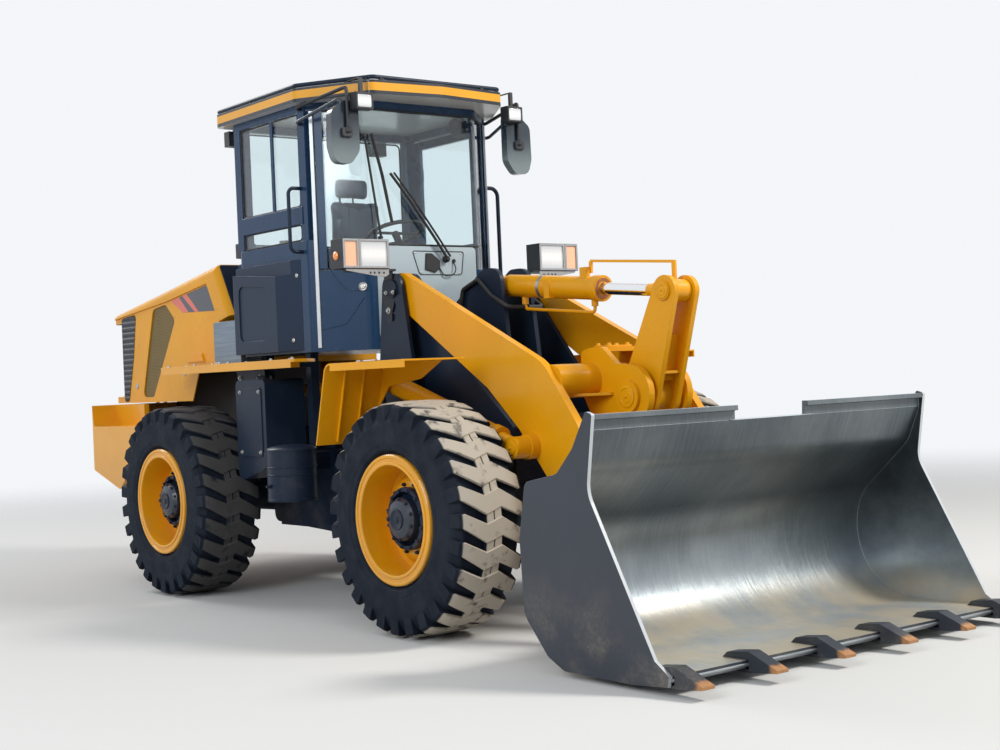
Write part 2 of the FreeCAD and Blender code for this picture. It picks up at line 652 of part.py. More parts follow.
def steer_pair():
    """Left steering cylinder: level, with upright pins."""
    start = V(STEER_BASE[0], STEER_BASE[1], STEER_Z)
    line = V(STEER_EYE[0], STEER_EYE[1], STEER_Z) - start
    way = V(line).normalize()
    barrel = Part.makeCylinder(STEER_BARREL_R, STEER_BARREL_END - 40, start + way * 40, way)
    head = Part.makeCylinder(STEER_BARREL_R + 6, 40, start + way * (STEER_BARREL_END - 41), way)
    foot = rod_z(start.x, start.y, 42, STEER_Z - 38, STEER_Z + 38)
    body = fuse([barrel, head, foot])
    bore = Part.makeCylinder(STEER_ROD_R + RUN_FIT, STEER_BARREL_END, start + way * 60, way)
    body = body.cut([bore, rod_z(start.x, start.y, 22 + RUN_FIT, 1000, 1800)])
    rod = Part.makeCylinder(STEER_ROD_R, line.Length - 360 - 25, start + way * 360, way)
    end = rod_z(STEER_EYE[0], STEER_EYE[1], 40, STEER_Z - 38, STEER_Z + 38)
    return body, fuse([rod, end])


# Rear frame
def rear_frame():
    side = side_plate([
        (-2900, 800, 40), (-1760, 800, 40), (-1640, 900, 60), (-1240, 900, 60), (-1180, 470, 60),
        (-420, 430, 60), (-240, 470, 0), (-240, 1090, 0), (-700, RAIL_TOP_Z, 0),
        (-2900, RAIL_TOP_Z, 40),
    ], RAIL_Y, RAIL_Y + RAIL_T)
    shapes = both_sides(side)
    # cross members: x from, x to, z from, z to
    for x0, x1, z0, z1 in ((-2900, -2870, 820, 1150), (-1800, -1770, 810, 880),
                           (-1150, -1120, 450, 615), (-270, -240, 620, 720)):
        shapes.append(box(x0, x1, -RAIL_Y - 1, RAIL_Y + 1, z0, z1))
    shapes.append(box(-1170, -260, -RAIL_Y - 1, RAIL_Y + 1, BELLY_Z - 22, BELLY_Z))
    # axle saddles
    for y in (-330, 330):
        shapes.append(box(REAR_AXLE_X - 120, REAR_AXLE_X + 120, y - 70, y + 70,
                          820 + SEAT_GAP, ENGINE_Z + 1))
    # forks round the pivot lugs and the upright pins
    fork = RAIL_Y + RAIL_T / 2
    for z in (PIVOT_TOP_Z, PIVOT_LOW_Z):
        for gap in (-1, 1):
            middle = z + gap * (PIVOT_LUG_T / 2 + SIDE_PLAY + 15)
            shapes.append(floor_plate([(70, 70, 65), (70, -70, 65), (-255, -fork, 0),
                                       (-300, -fork, 0), (-300, fork, 0), (-255, fork, 0)],
                                      middle - 15, middle + 15))
        reach = PIVOT_LUG_T / 2 + SIDE_PLAY + 36
        shapes.append(rod_z(0, 0, PIVOT_R, z - reach, z + reach))
    # engine mounts, inward of the rails
    for x in (-2600, -2050):
        shapes += both_sides(box(x, x + 100, 200, RAIL_Y + 1, 880, ENGINE_Z - SEAT_GAP))
    sx, sy = STEER_BASE
    for z in (STEER_Z - 60, STEER_Z + 45):
        shapes += both_sides(floor_plate([(sx + 45, sy + 45, 44), (sx + 45, sy - 45, 44),
                                          (sx - 60, sy - 60, 0), (sx - 60, sy + 45, 0)], z, z + 15))
    shapes += both_sides(rod_z(sx, sy, 22, STEER_Z - 60, STEER_Z + 60))
    shapes += both_sides(box(sx - 75, sx - 50, RAIL_Y, RAIL_Y + 135, 1100, STEER_Z + 60))
    return [fuse(shapes)]


def cab_stands():
    """Posts on outriggers that carry the cab, with arms for the side platforms."""
    stands = []
    for x in CAB_POSTS_X:
        shapes = [box(x, x + 60, RAIL_Y + RAIL_T + SEAT_GAP, 620, 1030, 1060),
                  box(x, x + 60, 560, 620, 1030, CAB_FLOOR_Z - SEAT_GAP),
                  box(x, x + 60, 560, 705, 1550, 1580)]
        if x == min(CAB_POSTS_X):
            # tapered plate outside the post, down from the running board
            shapes.append(side_plate([(-1190, 1560, 0), (-790, 1560, 0), (-735, 1200, 30),
                                      (-1030, 1200, 30)], 619, 635))
        stands.append(fuse(shapes))
    return stands + [mirrored(stand) for stand in stands]


def counterweight():
    side = side_plate([
        (REAR_END_X, 880, 40), (REAR_END_X, WEIGHT_TOP_Z, 20), (-3085, WEIGHT_TOP_Z, 15),
        (-3060, WEIGHT_SHELF_Z, 20), (-2170, WEIGHT_SHELF_Z, 30), (-2230, 1000, 0),
        (-2620, 690, 40),
    ], -WEIGHT_HALF, WEIGHT_HALF)
    plan = floor_plate([
        (REAR_END_X, 660, 60), (REAR_END_X, -660, 60), (REAR_END_X + 130, -WEIGHT_HALF, 80),
        (-2100, -WEIGHT_HALF, 0), (-2100, WEIGHT_HALF, 0), (REAR_END_X + 130, WEIGHT_HALF, 80),
    ], 600, 1400)
    # the wings are shelves; a narrower body rises between them to the hood
    core_half = HOOD_HALF + 10
    core = box(-3150, -2560, -core_half, core_half, WEIGHT_SHELF_Z - 100, WEIGHT_TOP_Z)
    block = side.common(plan).fuse(core)
    front = box(-2900, -2000, -core_half + 40, core_half - 40, 600, 1500)
    slot = box(-2900 - SEAT_GAP, -2000, -RAIL_Y - RAIL_T - 5, RAIL_Y + RAIL_T + 5, 700, 1200)
    # drawbar jaw: two lips with a pin hole, open to the rear and above the upper lip
    low, jaw0, jaw1, lip = DRAWBAR_Z
    jaw = [box(REAR_END_X - 10, REAR_END_X + 170, -110, 110, jaw0, jaw1),
           box(REAR_END_X - 10, REAR_END_X + 130, -130, 130, lip, lip + 120),
           box(REAR_END_X - 10, REAR_END_X + 170, -150, 150, 600, low),
           rod_z(REAR_END_X + 55, 0, DRAWBAR_R, low - 10, lip + 10)]
    block = block.cut([front, slot] + jaw)
    # lugs either side of each hood knuckle, with the hinge pin
    hx, hz = HOOD_HINGE
    y0, y1 = HOOD_KNUCKLE_Y
    lugs = both_sides(rod_y(hx, hz, HOOD_PIN_R, y0 - 25, y1 + 25))
    for low_y in (y0 - 25, y1 + SIDE_PLAY):
        lugs += both_sides(rod_y(hx, hz, HOOD_KNUCKLE_R, low_y, low_y + 20))
        lugs += both_sides(box(hx - HOOD_KNUCKLE_R, hx + HOOD_KNUCKLE_R, low_y, low_y + 20,
                               WEIGHT_TOP_Z - 1, hz))
    return [fuse([block] + lugs)]


def engine_block():
    return [box(*ENGINE_X, -300, 300, ENGINE_Z, 1700)]


def transmission():
    """Gearbox block with the short shaft to the rear axle and the one to the pivot joint."""
    nose_x = REAR_AXLE_X + 260 + SEAT_GAP
    return [fuse([
        box(-1100, -500, -240, 240, 600, 1100),
        box(-1060, -620, -180, 180, BELLY_Z + SEAT_GAP, 620),
        rod_along((nose_x, 0, TYRE_R), (-1090, 0, TYRE_R), SHAFT_R + 6),
        rod_along((-510, 0, SHAFT_Z + 10), (-JOINT_HALF, 0, SHAFT_Z), SHAFT_R),
        Part.makeSphere(SHAFT_R + 4, V(-6, 0, SHAFT_Z)),
    ])]


def air_tank():
    x, y = AIR_TANK
    rail = -RAIL_Y - RAIL_T - SEAT_GAP
    body = fuse([rod_z(x, y, 160, 700, 1020), Part.makeCone(160, 120, 20, V(x, y, 1020))])
    arm = box(-325, -250, y - 30, rail, 980, 1000)
    reach = box(-325, x - 140, y - 30, y + 30, 980, 1000)
    foot = box(-325, -250, rail - 12, rail, 930, 1000)
    return [fuse([body, arm, reach, foot])]


def side_tanks():
    tank = side_plate([(-720, 800, 60), (-720, 1480, 40), (-330, 1480, 40), (-330, 900, 80)],
                      600, 900)
    saddle = box(-640, -420, RAIL_Y + RAIL_T + SEAT_GAP, 601, 860, 960)
    left = fuse([tank, saddle])
    return [left, mirrored(left)]


def side_platforms():
    board = floor_plate([
        (-1765, 706, 0), (0, 706, 0), (100, 830, 0), (100, BOARD_Y, 20), (-1765, BOARD_Y, 20),
    ], BOARD_Z - 20, BOARD_Z)
    lip = box(-1745, 80, BOARD_Y - 6, BOARD_Y, BOARD_Z - 55, BOARD_Z - 5)
    shapes = [board, lip]
    for x in CAB_POSTS_X:
        shapes.append(box(x, x + 60, 705 + SEAT_GAP, BOARD_Y - 30, BOARD_Z - 50, BOARD_Z - 19))
    return both_sides(fuse(shapes))


def ladder():
    shapes = []
    for x in (-300, -720):
        shapes.append(box(x, x + 12, 905, 1040, 480, 1545))
    for z in (480, 760, 1040, 1320):
        shapes.append(box(-720, -288, 905, 1040, z, z + 20))
    shapes.append(box(-720, -288, 900 + SEAT_GAP, 910, 950, 1100))
    return [fuse(shapes)]


# Engine hood: a shell open below; its roof and front border stand proud of the side panels
def hood_body(grow, half):
    rows = [
        (HOOD_REAR_X - grow, HOOD_LOW_Z, 0), (-3110 - grow, 2052 + grow, 60),
        (-2134, 2197 + grow, 0), (-1340 + grow, 2322 + grow, 20), (-1130 + grow, 1950, 0),
        (-1360 + grow, 1900, 40), (-1360 + grow, HOOD_LOW_Z, 0),
    ]
    body = side_plate(rows, -half, half)
    edges = []
    for edge in body.Edges:
        extent = edge.BoundBox
        if extent.YLength < 1 and extent.XLength > 300 and extent.ZMin > 2000:
            edges.append(edge)
    return body.makeFillet(60 + grow, edges)


def engine_hood():
    # the panel that the roof and the front border overhang, as seen from the side
    panel = side_plate([
        (-3300, 1200, 0), (-3300, 1996, 0), (-2134, 2105, 0), (-1480, 2195, 20), (-1300, 1880, 0),
        (-1300, 1200, 0),
    ], -900, 900)
    roof = hood_body(0, HOOD_HALF).cut(panel)
    sides = hood_body(0, HOOD_HALF - HOOD_LIP)
    inner = hood_body(-HOOD_WALL, HOOD_HALF - HOOD_LIP - HOOD_WALL)
    foot = side_plate([(-1650, 1605, 0), (-1815, 1300, 0), (-1300, 1300, 0), (-1300, 1605, 0)],
                      -900, 900)
    # mesh window in each side, rear opening, and the opening at each rear corner
    window = side_plate([
        (-2620, 1390, 40), (-2390, 2060, 60), (-2170, 2085, 60), (-2020, 1960, 40),
        (-2430, 1390, 40),
    ], -HOOD_HALF - 20, HOOD_HALF + 20)
    rear = box(-3200, -3050, -560, 560, 1420, 1960)
    corner = side_plate([(-3200, 1400, 0), (-3200, 1975, 0), (-2800, 1985, 30), (-2960, 1400, 30)],
                        590, HOOD_HALF + 20)
    pipe = rod_z(*EXHAUST, EXHAUST_R + SEAT_GAP, 2100, 2400)
    hx, hz = HOOD_HINGE
    y0, y1 = HOOD_KNUCKLE_Y
    # notches in the rear wall for the lugs of the hinge
    notch = box(HOOD_REAR_X - 20, hx + HOOD_KNUCKLE_R + 12, y0 - 30, y1 + 30, 1300, hz + 24)
    shell = fuse([roof, sides]).cut([inner, foot, window, rear, pipe] + both_sides(corner)
                                    + both_sides(notch))
    knuckles = []
    for side in (-1, 1):
        barrel = box(hx - 2, hx + 10, y0, y1, hz, hz + 26)
        barrel = fuse([rod_y(hx, hz, HOOD_KNUCKLE_R, y0, y1), barrel])
        knuckles.append(barrel if side > 0 else mirrored(barrel))
    bores = both_sides(rod_y(hx, hz, HOOD_PIN_R + RUN_FIT, y0 - 5, y1 + 5))
    return [fuse([shell] + knuckles).cut(bores)]


def hood_grilles():
    inner = HOOD_HALF - HOOD_LIP - HOOD_WALL - SEAT_GAP
    mesh = side_plate([(-2650, 1370, 20), (-2410, 2072, 20), (-2165, 2105, 20), (-1985, 1960, 20),
                       (-2410, 1370, 20)], inner - 6, inner)
    # rear grille with its corners swept forward into the sides
    rear = floor_plate([
        (-3098, -585, 20), (-2965, -640, 20), (-2780, -inner, 0), (-2780, -inner + 20, 0),
        (-2960, -620, 10), (-3078, -570, 10), (-3078, 570, 10), (-2960, 620, 10),
        (-2780, inner - 20, 0), (-2780, inner, 0), (-2965, 640, 20), (-3098, 585, 20),
    ], 1392, 1960)
    return both_sides(mesh) + [rear]


def exhaust():
    x, y = EXHAUST
    return [fuse([rod_z(x, y, EXHAUST_R, 2150, 2560), rod_z(x, y, EXHAUST_R + 18, 2250, 2290)])]


# Cab
def cab_plan(inset, z0, z1, corner=60):
    """Level slice of the cab, the front a bay of three faces."""
    half = CAB_SIDE_Y - inset
    slant = inset * 0.6
    rows = [
        (CAB_REAR_X + inset, half, corner), (CAB_REAR_X + inset, -half, corner),
        (CAB_CORNER_X - slant, -half, 30), (CAB_FRONT_X - inset, -CAB_FRONT_Y + slant, 90),
        (CAB_FRONT_X - inset, CAB_FRONT_Y - slant, 90), (CAB_CORNER_X - slant, half, 30),
    ]
    return floor_plate(rows, z0, z1)


def door_hinge(wall_y, z):
    """Two tabs and a pin that carry one hinge knuckle of the door."""
    hx, hy = DOOR_HINGE
    shapes = [rod_z(hx, hy, DOOR_PIN_R, z - 14, z + KNUCKLE_H + 14)]
    for low in (z - 14, z + KNUCKLE_H + 2):
        shapes += [rod_z(hx, hy, DOOR_KNUCKLE_R, low, low + 12),
                   box(hx - 64, hx - 30, wall_y - 1, hy + DOOR_KNUCKLE_R, low, low + 12),
                   box(hx - 31, hx, hy - DOOR_KNUCKLE_R, hy + DOOR_KNUCKLE_R, low, low + 12)]
    return shapes


def cab_shell():
    """Lower body: floor, walls up to the sills."""
    outer = cab_plan(0, CAB_FLOOR_Z, CAB_SILL_Z)
    inner = cab_plan(CAB_WALL, CAB_FLOOR_Z + CAB_WALL, CAB_SILL_Z + 1)
    screen = box(CAB_CORNER_X + 30, 400, -760, 760, CAB_SCREEN_Z, CAB_SILL_Z + 1)
    door = box(DOOR_X0 - DOOR_GAP, DOOR_X1 + DOOR_GAP, 600, 800, DOOR_Z0 - DOOR_GAP,
               CAB_SILL_Z + 1)
    return [fuse([outer.cut([inner, screen, door])] + door_hinge(CAB_SIDE_Y, DOOR_HINGES_Z[0]))]


def side_covers():
    """Moulded cover on the cab's right wall, swept back in front, and the box behind the cab."""
    wall = CAB_SIDE_Y + SEAT_GAP
    face = CAB_SIDE_Y + 63
    cover = floor_plate([(-893, -wall, 0), (-893, -face, 30), (-300, -face, 30), (-72, -wall, 0)],
                        1655, 2245)
    above = side_plate([(-1000, 2262, 0), (-1000, 2210, 0), (-300, 2150, 0), (0, 2168, 0),
                        (0, 2262, 0)], -900, -wall - 25)
    recess = side_plate([(-800, 1740, 50), (-800, 2120, 50), (-430, 2090, 50), (-430, 1740, 50)],
                        -face - 10, -face + 8)
    low = BOARD_Z + SEAT_GAP
    service_box = side_plate([(-1290, low, 0), (-1290, 1900, 25), (-910, 1900, 25), (-910, low, 0)],
                             -745, -560)
    return [cover.cut([above, recess]), service_box]


def rear_duct():
    """Air duct between the cab's rear wall and the way that the hood's front edge swings."""
    wall = CAB_REAR_X - SEAT_GAP
    rows = [(wall, 1930, 0), (wall, 2335, 20), (-1240, 2300, 30), (-1098, 1930, 30)]
    return [side_plate(rows, -570, 570)]


def cab_posts():
    """Posts and rails above the sills."""
    shapes = []
    z0 = CAB_SILL_Z + SEAT_GAP
    for x, y in ((CAB_REAR_X + 45, 695), (CAB_CORNER_X - 30, 695)):
        shapes += both_sides(box(x - 40, x + 40, y - 40, y + 40, z0, CAB_TOP_Z))
    top = cab_plan(5, CAB_TOP_Z - 50, CAB_TOP_Z).cut(cab_plan(75, CAB_TOP_Z - 60, CAB_TOP_Z + 10))
    shapes.append(top)
    shapes.append(box(CAB_REAR_X + 40, CAB_CORNER_X - 40, -735, -685, 2530, 2580))
    shapes.append(box(CAB_REAR_X + 10, CAB_REAR_X + 60, -690, 690, z0, z0 + 40))
    shapes += door_hinge(735, DOOR_HINGES_Z[1])
    return [fuse(shapes)]


def cab_roof():
    rows = [
        (-1065, 790, 60), (-1065, -790, 60), (30, -800, 60), (500, -520, 60), (560, 0, 0),
        (500, 520, 60), (30, 800, 60),
    ]
    slab = floor_plate(rows, CAB_TOP_Z + SEAT_GAP, CAB_TOP_Z + 90)
    return [slab]


def roof_rail():
    z = CAB_TOP_Z + 90 + 20
    points = [(-1050, -700, z), (-1050, -770, z), (20, -780, z), (490, -500, z), (490, 500, z),
              (20, 780, z), (-1050, 770, z), (-1050, 700, z)]
    rail = tube(points, 14, 40)
    feet = [rod_z(x, y, 8, CAB_TOP_Z + 90 + SEAT_GAP, z) for x, y in
            ((-600, -774), (-600, 774), (-100, -779), (-100, 779), (490, -300), (490, 300))]
    return [fuse([rail] + feet)]


def cab_glass():
    z0, z1 = CAB_SCREEN_Z + SEAT_GAP, CAB_TOP_Z - 50 - SEAT_GAP
    bay = cab_plan(12, z0, z1).cut(cab_plan(12 + GLASS_T, z0 - 1, z1 + 1))
    screen = bay.common(box(CAB_CORNER_X + 35, 400, -800, 800, z0, z1))
    x0, x1 = CAB_REAR_X + 85 + SEAT_GAP, CAB_CORNER_X - 70 - SEAT_GAP
    right = [box(x0, x1, -725, -725 + GLASS_T, 2580 + SEAT_GAP, z1),
             box(x0, x1, -725, -725 + GLASS_T, CAB_SILL_Z + SEAT_GAP, 2530 - SEAT_GAP)]
    half = 655 - SEAT_GAP
    rear = box(CAB_REAR_X + 25, CAB_REAR_X + 25 + GLASS_T, -half, half,
               CAB_SILL_Z + 40 + 2 * SEAT_GAP, z1)
    return [screen, rear] + right


def cab_door():
    z0, z1 = DOOR_Z0, DOOR_Z1
    panel = box(DOOR_X0, DOOR_X1, CAB_SIDE_Y - CAB_WALL, CAB_SIDE_Y, z0, z1)
    upper = box(DOOR_X0 + 60, DOOR_X1 - 60, 600, 800, CAB_SILL_Z + 20, z1 - 60)
    lower = box(DOOR_X0 + 90, DOOR_X1 - 90, 600, 800, z0 + 90, CAB_SILL_Z - 60)
    hx, hy = DOOR_HINGE
    knuckles = []
    for z in DOOR_HINGES_Z:
        knuckles += [rod_z(hx, hy, DOOR_KNUCKLE_R, z, z + KNUCKLE_H),
                     box(hx, hx + 30, CAB_SIDE_Y - 1, hy + DOOR_KNUCKLE_R, z, z + KNUCKLE_H)]
    handle = tube([(DOOR_X1 - 40, CAB_SIDE_Y - 1, 2250), (DOOR_X1 - 40, CAB_SIDE_Y + 45, 2250),
                   (DOOR_X1 - 40, CAB_SIDE_Y + 45, 2110), (DOOR_X1 - 40, CAB_SIDE_Y - 1, 2110)], 7, 18)
    body = fuse([panel.cut([upper, lower]), handle] + knuckles)
    return [body.cut([rod_z(hx, hy, DOOR_PIN_R + RUN_FIT, z - 5, z + KNUCKLE_H + 5)
                      for z in DOOR_HINGES_Z])]


def door_glass():
    y0 = CAB_SIDE_Y - 18
    panes = []
    # panes: inset from the door's sides, z from, z to
    for inset, z0, z1 in ((60, CAB_SILL_Z + 20, DOOR_Z1 - 60), (90, DOOR_Z0 + 90, CAB_SILL_Z - 60)):
        inset += SEAT_GAP
        panes.append(box(DOOR_X0 + inset, DOOR_X1 - inset, y0, y0 + GLASS_T, z0 + SEAT_GAP,
                         z1 - SEAT_GAP))
    return panes


def seat():
    floor = CAB_FLOOR_Z + CAB_WALL + SEAT_GAP
    base = box(-650, -300, -200, 200, floor, 2080)
    cushion = box(-700, -210, -250, 250, 2079, 2200)
    back = side_plate([(-690, 2190, 0), (-570, 2190, 0), (-620, 2850, 40), (-710, 2850, 40)],
                      -230, 230)
    return [fuse([base, cushion, back])]


def console():
    floor = CAB_FLOOR_Z + CAB_WALL + SEAT_GAP
    column = side_plate([(0, floor, 0), (200, floor, 0), (150, 2250, 40), (20, 2380, 40)], -110, 110)
    wheel = Part.makeTorus(190, 14, V(-60, 0, 2430), V(-0.35, 0, 1))
    spoke = rod_along((30, 0, 2300), (-60, 0, 2432), 25)
    bar = rod_along((-60, -188, 2430), (-60, 188, 2430), 10)
    side_box = box(-560, -120, -440, -300, floor, 2280)
    return [fuse([column, wheel, spoke, bar]), side_box]


def work_lamps():
    z = CAB_TOP_Z + 20
    lamps = []
    for x, y, way in ((470, 600, 1), (-1090, 600, -1)):
        body = box(min(x, x + way * 70), max(x, x + way * 70), y - 65, y + 65, z - 130, z - 25)
        hook = box(min(x - way * 140, x + way * 40), max(x - way * 140, x + way * 40), y - 12,
                   y + 12, CAB_TOP_Z + 90 + SEAT_GAP, CAB_TOP_Z + 94)
        stem = box(min(x + way * 20, x + way * 40), max(x + way * 20, x + way * 40), y - 12, y + 12,
                   z - 26, CAB_TOP_Z + 94)
        lamps += both_sides(fuse([body, stem, hook]))
    for side in (-1, 1):
        low = box(-1000, -930, side * 640 - 60, side * 640 + 60, 2330, 2430)
        stem = box(-935, CAB_REAR_X - SEAT_GAP, side * 640 - 15, side * 640 + 15, 2340, 2400)
        lamps.append(fuse([low, stem]))
    return lamps


def mirrors():
    """Tear-shaped mirror bodies on bent tubes from the cab's front corner posts."""
    root = 735 + SEAT_GAP
    arm = tube([(0, root, 3110), (0, 785, 3110), (430, 700, 3215), (430, 700, 3000)], 12, 32)
    rows = [(592, 3185, 30), (592, 2880, 90), (660, 2795, 60), (770, 2800, 60), (800, 2900, 80),
            (795, 3120, 60), (700, 3195, 80)]
    wire = rounded_wire(rows, lambda u, v: V(395, u, v))
    body = Part.Face(wire).extrude(V(60, 0, 0))
    return both_sides(fuse([arm, body]))


def grab_rails():
    wall = CAB_SIDE_Y + SEAT_GAP
    post = CAB_SIDE_Y - 5 + SEAT_GAP
    right = tube([(-40, -post, 2700), (-40, -830, 2700), (-40, -830, 2290), (-40, -wall, 2290)], 12, 40)
    left = tube([(0, post, 2760), (0, 850, 2760), (0, 850, 1900), (0, wall, 1900)], 14, 60)
    return [right, left]


def shifted(shape, x, y, z):
    copy = shape.copy()
    copy.translate(V(x, y, z))
    return copy


def save(name, solids):
    moved = [shifted(piece, -CENTRE_X, 0, 0) for piece in solids]
    Part.makeCompound(moved).exportStep(f"parts/{name}.step")


NODES = [
    front_frame, front_axle, front_fenders, headlamps, lamp_glass, boom, bell_crank,
    bucket_link, bucket, cutting_edge, bucket_teeth, rear_frame, cab_stands, rear_axle,
    counterweight, engine_block, transmission, tilt_hoses, air_tank, side_tanks, side_platforms,
    ladder, engine_hood, hood_grilles, exhaust, cab_shell, side_covers, rear_duct, cab_posts,
    cab_roof, roof_rail, cab_glass, cab_door, door_glass, seat, console, work_lamps, mirrors,
    grab_rails,
]
for make in NODES:
    save(make.__name__, make())

barrels, rods = lift_pair()
save("lift_barrels", barrels)
save("lift_rods", rods)
barrels, rods = tilt_pair()
save("tilt_barrel", barrels)
save("tilt_rod", rods)
for name, piece in zip(("steer_barrel", "steer_rod"), steer_pair()):
    save(f"{name}_left", [piece])
    save(f"{name}_right", [mirrored(piece)])

left_tyre, left_rim = tyre(), rim()
for end, x in (("front", FRONT_AXLE_X), ("rear", REAR_AXLE_X)):
    for side, y in (("left", TRACK / 2), ("right", -TRACK / 2)):
        for name, piece in (("tyre", left_tyre), ("rim", left_rim)):
            handed = piece if y > 0 else mirrored(piece)
            save(f"{name}_{end}_{side}", [shifted(handed, x, y, TYRE_R)])
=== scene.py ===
import bmesh
import bpy
import math
from mathutils import Matrix, Vector


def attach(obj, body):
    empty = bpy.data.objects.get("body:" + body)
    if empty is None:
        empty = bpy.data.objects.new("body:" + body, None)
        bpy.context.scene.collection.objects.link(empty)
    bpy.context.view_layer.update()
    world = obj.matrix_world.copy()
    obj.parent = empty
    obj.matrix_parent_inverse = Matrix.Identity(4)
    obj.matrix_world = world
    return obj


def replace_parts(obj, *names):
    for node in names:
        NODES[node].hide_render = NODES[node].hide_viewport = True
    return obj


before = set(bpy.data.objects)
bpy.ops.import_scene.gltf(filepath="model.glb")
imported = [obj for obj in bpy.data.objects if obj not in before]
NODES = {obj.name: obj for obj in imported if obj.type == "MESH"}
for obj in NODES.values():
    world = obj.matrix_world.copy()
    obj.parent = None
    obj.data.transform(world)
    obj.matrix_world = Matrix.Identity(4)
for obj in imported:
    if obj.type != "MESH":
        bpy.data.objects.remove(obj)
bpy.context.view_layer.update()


# Studio: a pale level floor, a soft sky and three soft lamps, seen from the loader's right front
# corner at the height of a man's chest. The sky turns white for the eye alone.
def stage_floor():
    mesh = bpy.data.meshes.new("floor")
    half = 30
    mesh.from_pydata([(-half, -half, 0), (half, -half, 0), (half, half, 0), (-half, half, 0)], [],
                     [(0, 1, 2, 3)])
    floor = bpy.data.objects.new("floor", mesh)
    bpy.context.collection.objects.link(floor)
    material = bpy.data.materials.new("pale_floor")
    material.use_nodes = True
    tree = material.node_tree
    shader = tree.nodes["Principled BSDF"]
    shader.inputs["Base Color"].default_value = (0.62, 0.62, 0.61, 1)
    shader.inputs["Roughness"].default_value = 0.9
    shader.inputs["Specular IOR Level"].default_value = 0.1
    # the floor thins out into the white far from the loader
    place = tree.nodes.new("ShaderNodeTexCoord")
    far = tree.nodes.new("ShaderNodeVectorMath")
    far.operation = "LENGTH"
    tree.links.new(place.outputs["Object"], far.inputs[0])
    fade = tree.nodes.new("ShaderNodeMapRange")
    fade.interpolation_type = "SMOOTHSTEP"
    fade.inputs["From Min"].default_value = 17
    fade.inputs["From Max"].default_value = 5.5
    tree.links.new(far.outputs["Value"], fade.inputs["Value"])
    tree.links.new(fade.outputs[0], shader.inputs["Alpha"])
    mesh.materials.append(material)


def soft_sky(seen, cast):
    world = bpy.data.worlds.new("sky")
    bpy.context.scene.world = world
    world.use_nodes = True
    tree = world.node_tree
    rays = tree.nodes.new("ShaderNodeLightPath")
    seen_by = rays.outputs["Is Camera Ray"]
    for name in ("Is Glossy Ray", "Is Transmission Ray"):
        either = tree.nodes.new("ShaderNodeMath")
        either.operation = "MAXIMUM"
        tree.links.new(seen_by, either.inputs[0])
        tree.links.new(rays.outputs[name], either.inputs[1])
        seen_by = either.outputs[0]
    blend = tree.nodes.new("ShaderNodeMapRange")
    blend.inputs["To Min"].default_value = cast
    blend.inputs["To Max"].default_value = seen
    tree.links.new(seen_by, blend.inputs["Value"])
    sky = tree.nodes["Background"]
    sky.inputs["Color"].default_value = (0.95, 0.97, 1, 1)
    tree.links.new(blend.outputs[0], sky.inputs["Strength"])


def soft_lamp(name, place, aim, size, power, colour):
    lamp = bpy.data.lights.new(name, "AREA")
    lamp.shape = "DISK"
    lamp.size = size
    lamp.energy = power
    lamp.color = colour
    holder = bpy.data.objects.new(name, lamp)
    holder.location = place
    holder.rotation_euler = (Vector(aim) - Vector(place)).to_track_quat("-Z", "Y").to_euler()
    bpy.context.collection.objects.link(holder)


stage_floor()
soft_sky(seen=0.95, cast=0.52)
soft_lamp("key", (8, 5, 9), (0.5, 0, 1), 3, 1150, (1, 0.97, 0.91))
soft_lamp("fill", (4, -10, 6), (0, 0, 1.2), 6, 520, (0.90, 0.95, 1))
soft_lamp("back", (-9, -2, 8), (-1, 0, 1), 5, 420, (1, 1, 1))

EYE = (8.2365, -5.9338, 1.4284)
YAW, PITCH, ROLL = 2.474, 0.0013, -0.0434
FOCAL_SHARE = 1.5429
lens = bpy.data.cameras.new("camera")
lens.lens = FOCAL_SHARE * lens.sensor_width
lens.clip_end = 1000
camera = bpy.data.objects.new("camera", lens)
forward = Vector((math.cos(YAW) * math.cos(PITCH), math.sin(YAW) * math.cos(PITCH),
                  math.sin(PITCH)))
level = forward.cross(Vector((0, 0, 1))).normalized()
lift = level.cross(forward)
right = level * math.cos(ROLL) + lift * math.sin(ROLL)
above = lift * math.cos(ROLL) - level * math.sin(ROLL)
camera.matrix_world = Matrix.Translation(EYE) @ Matrix((right, above, -forward)).transposed().to_4x4()
bpy.context.collection.objects.link(camera)
bpy.context.scene.camera = camera
bpy.context.scene.view_settings.view_transform = "Standard"


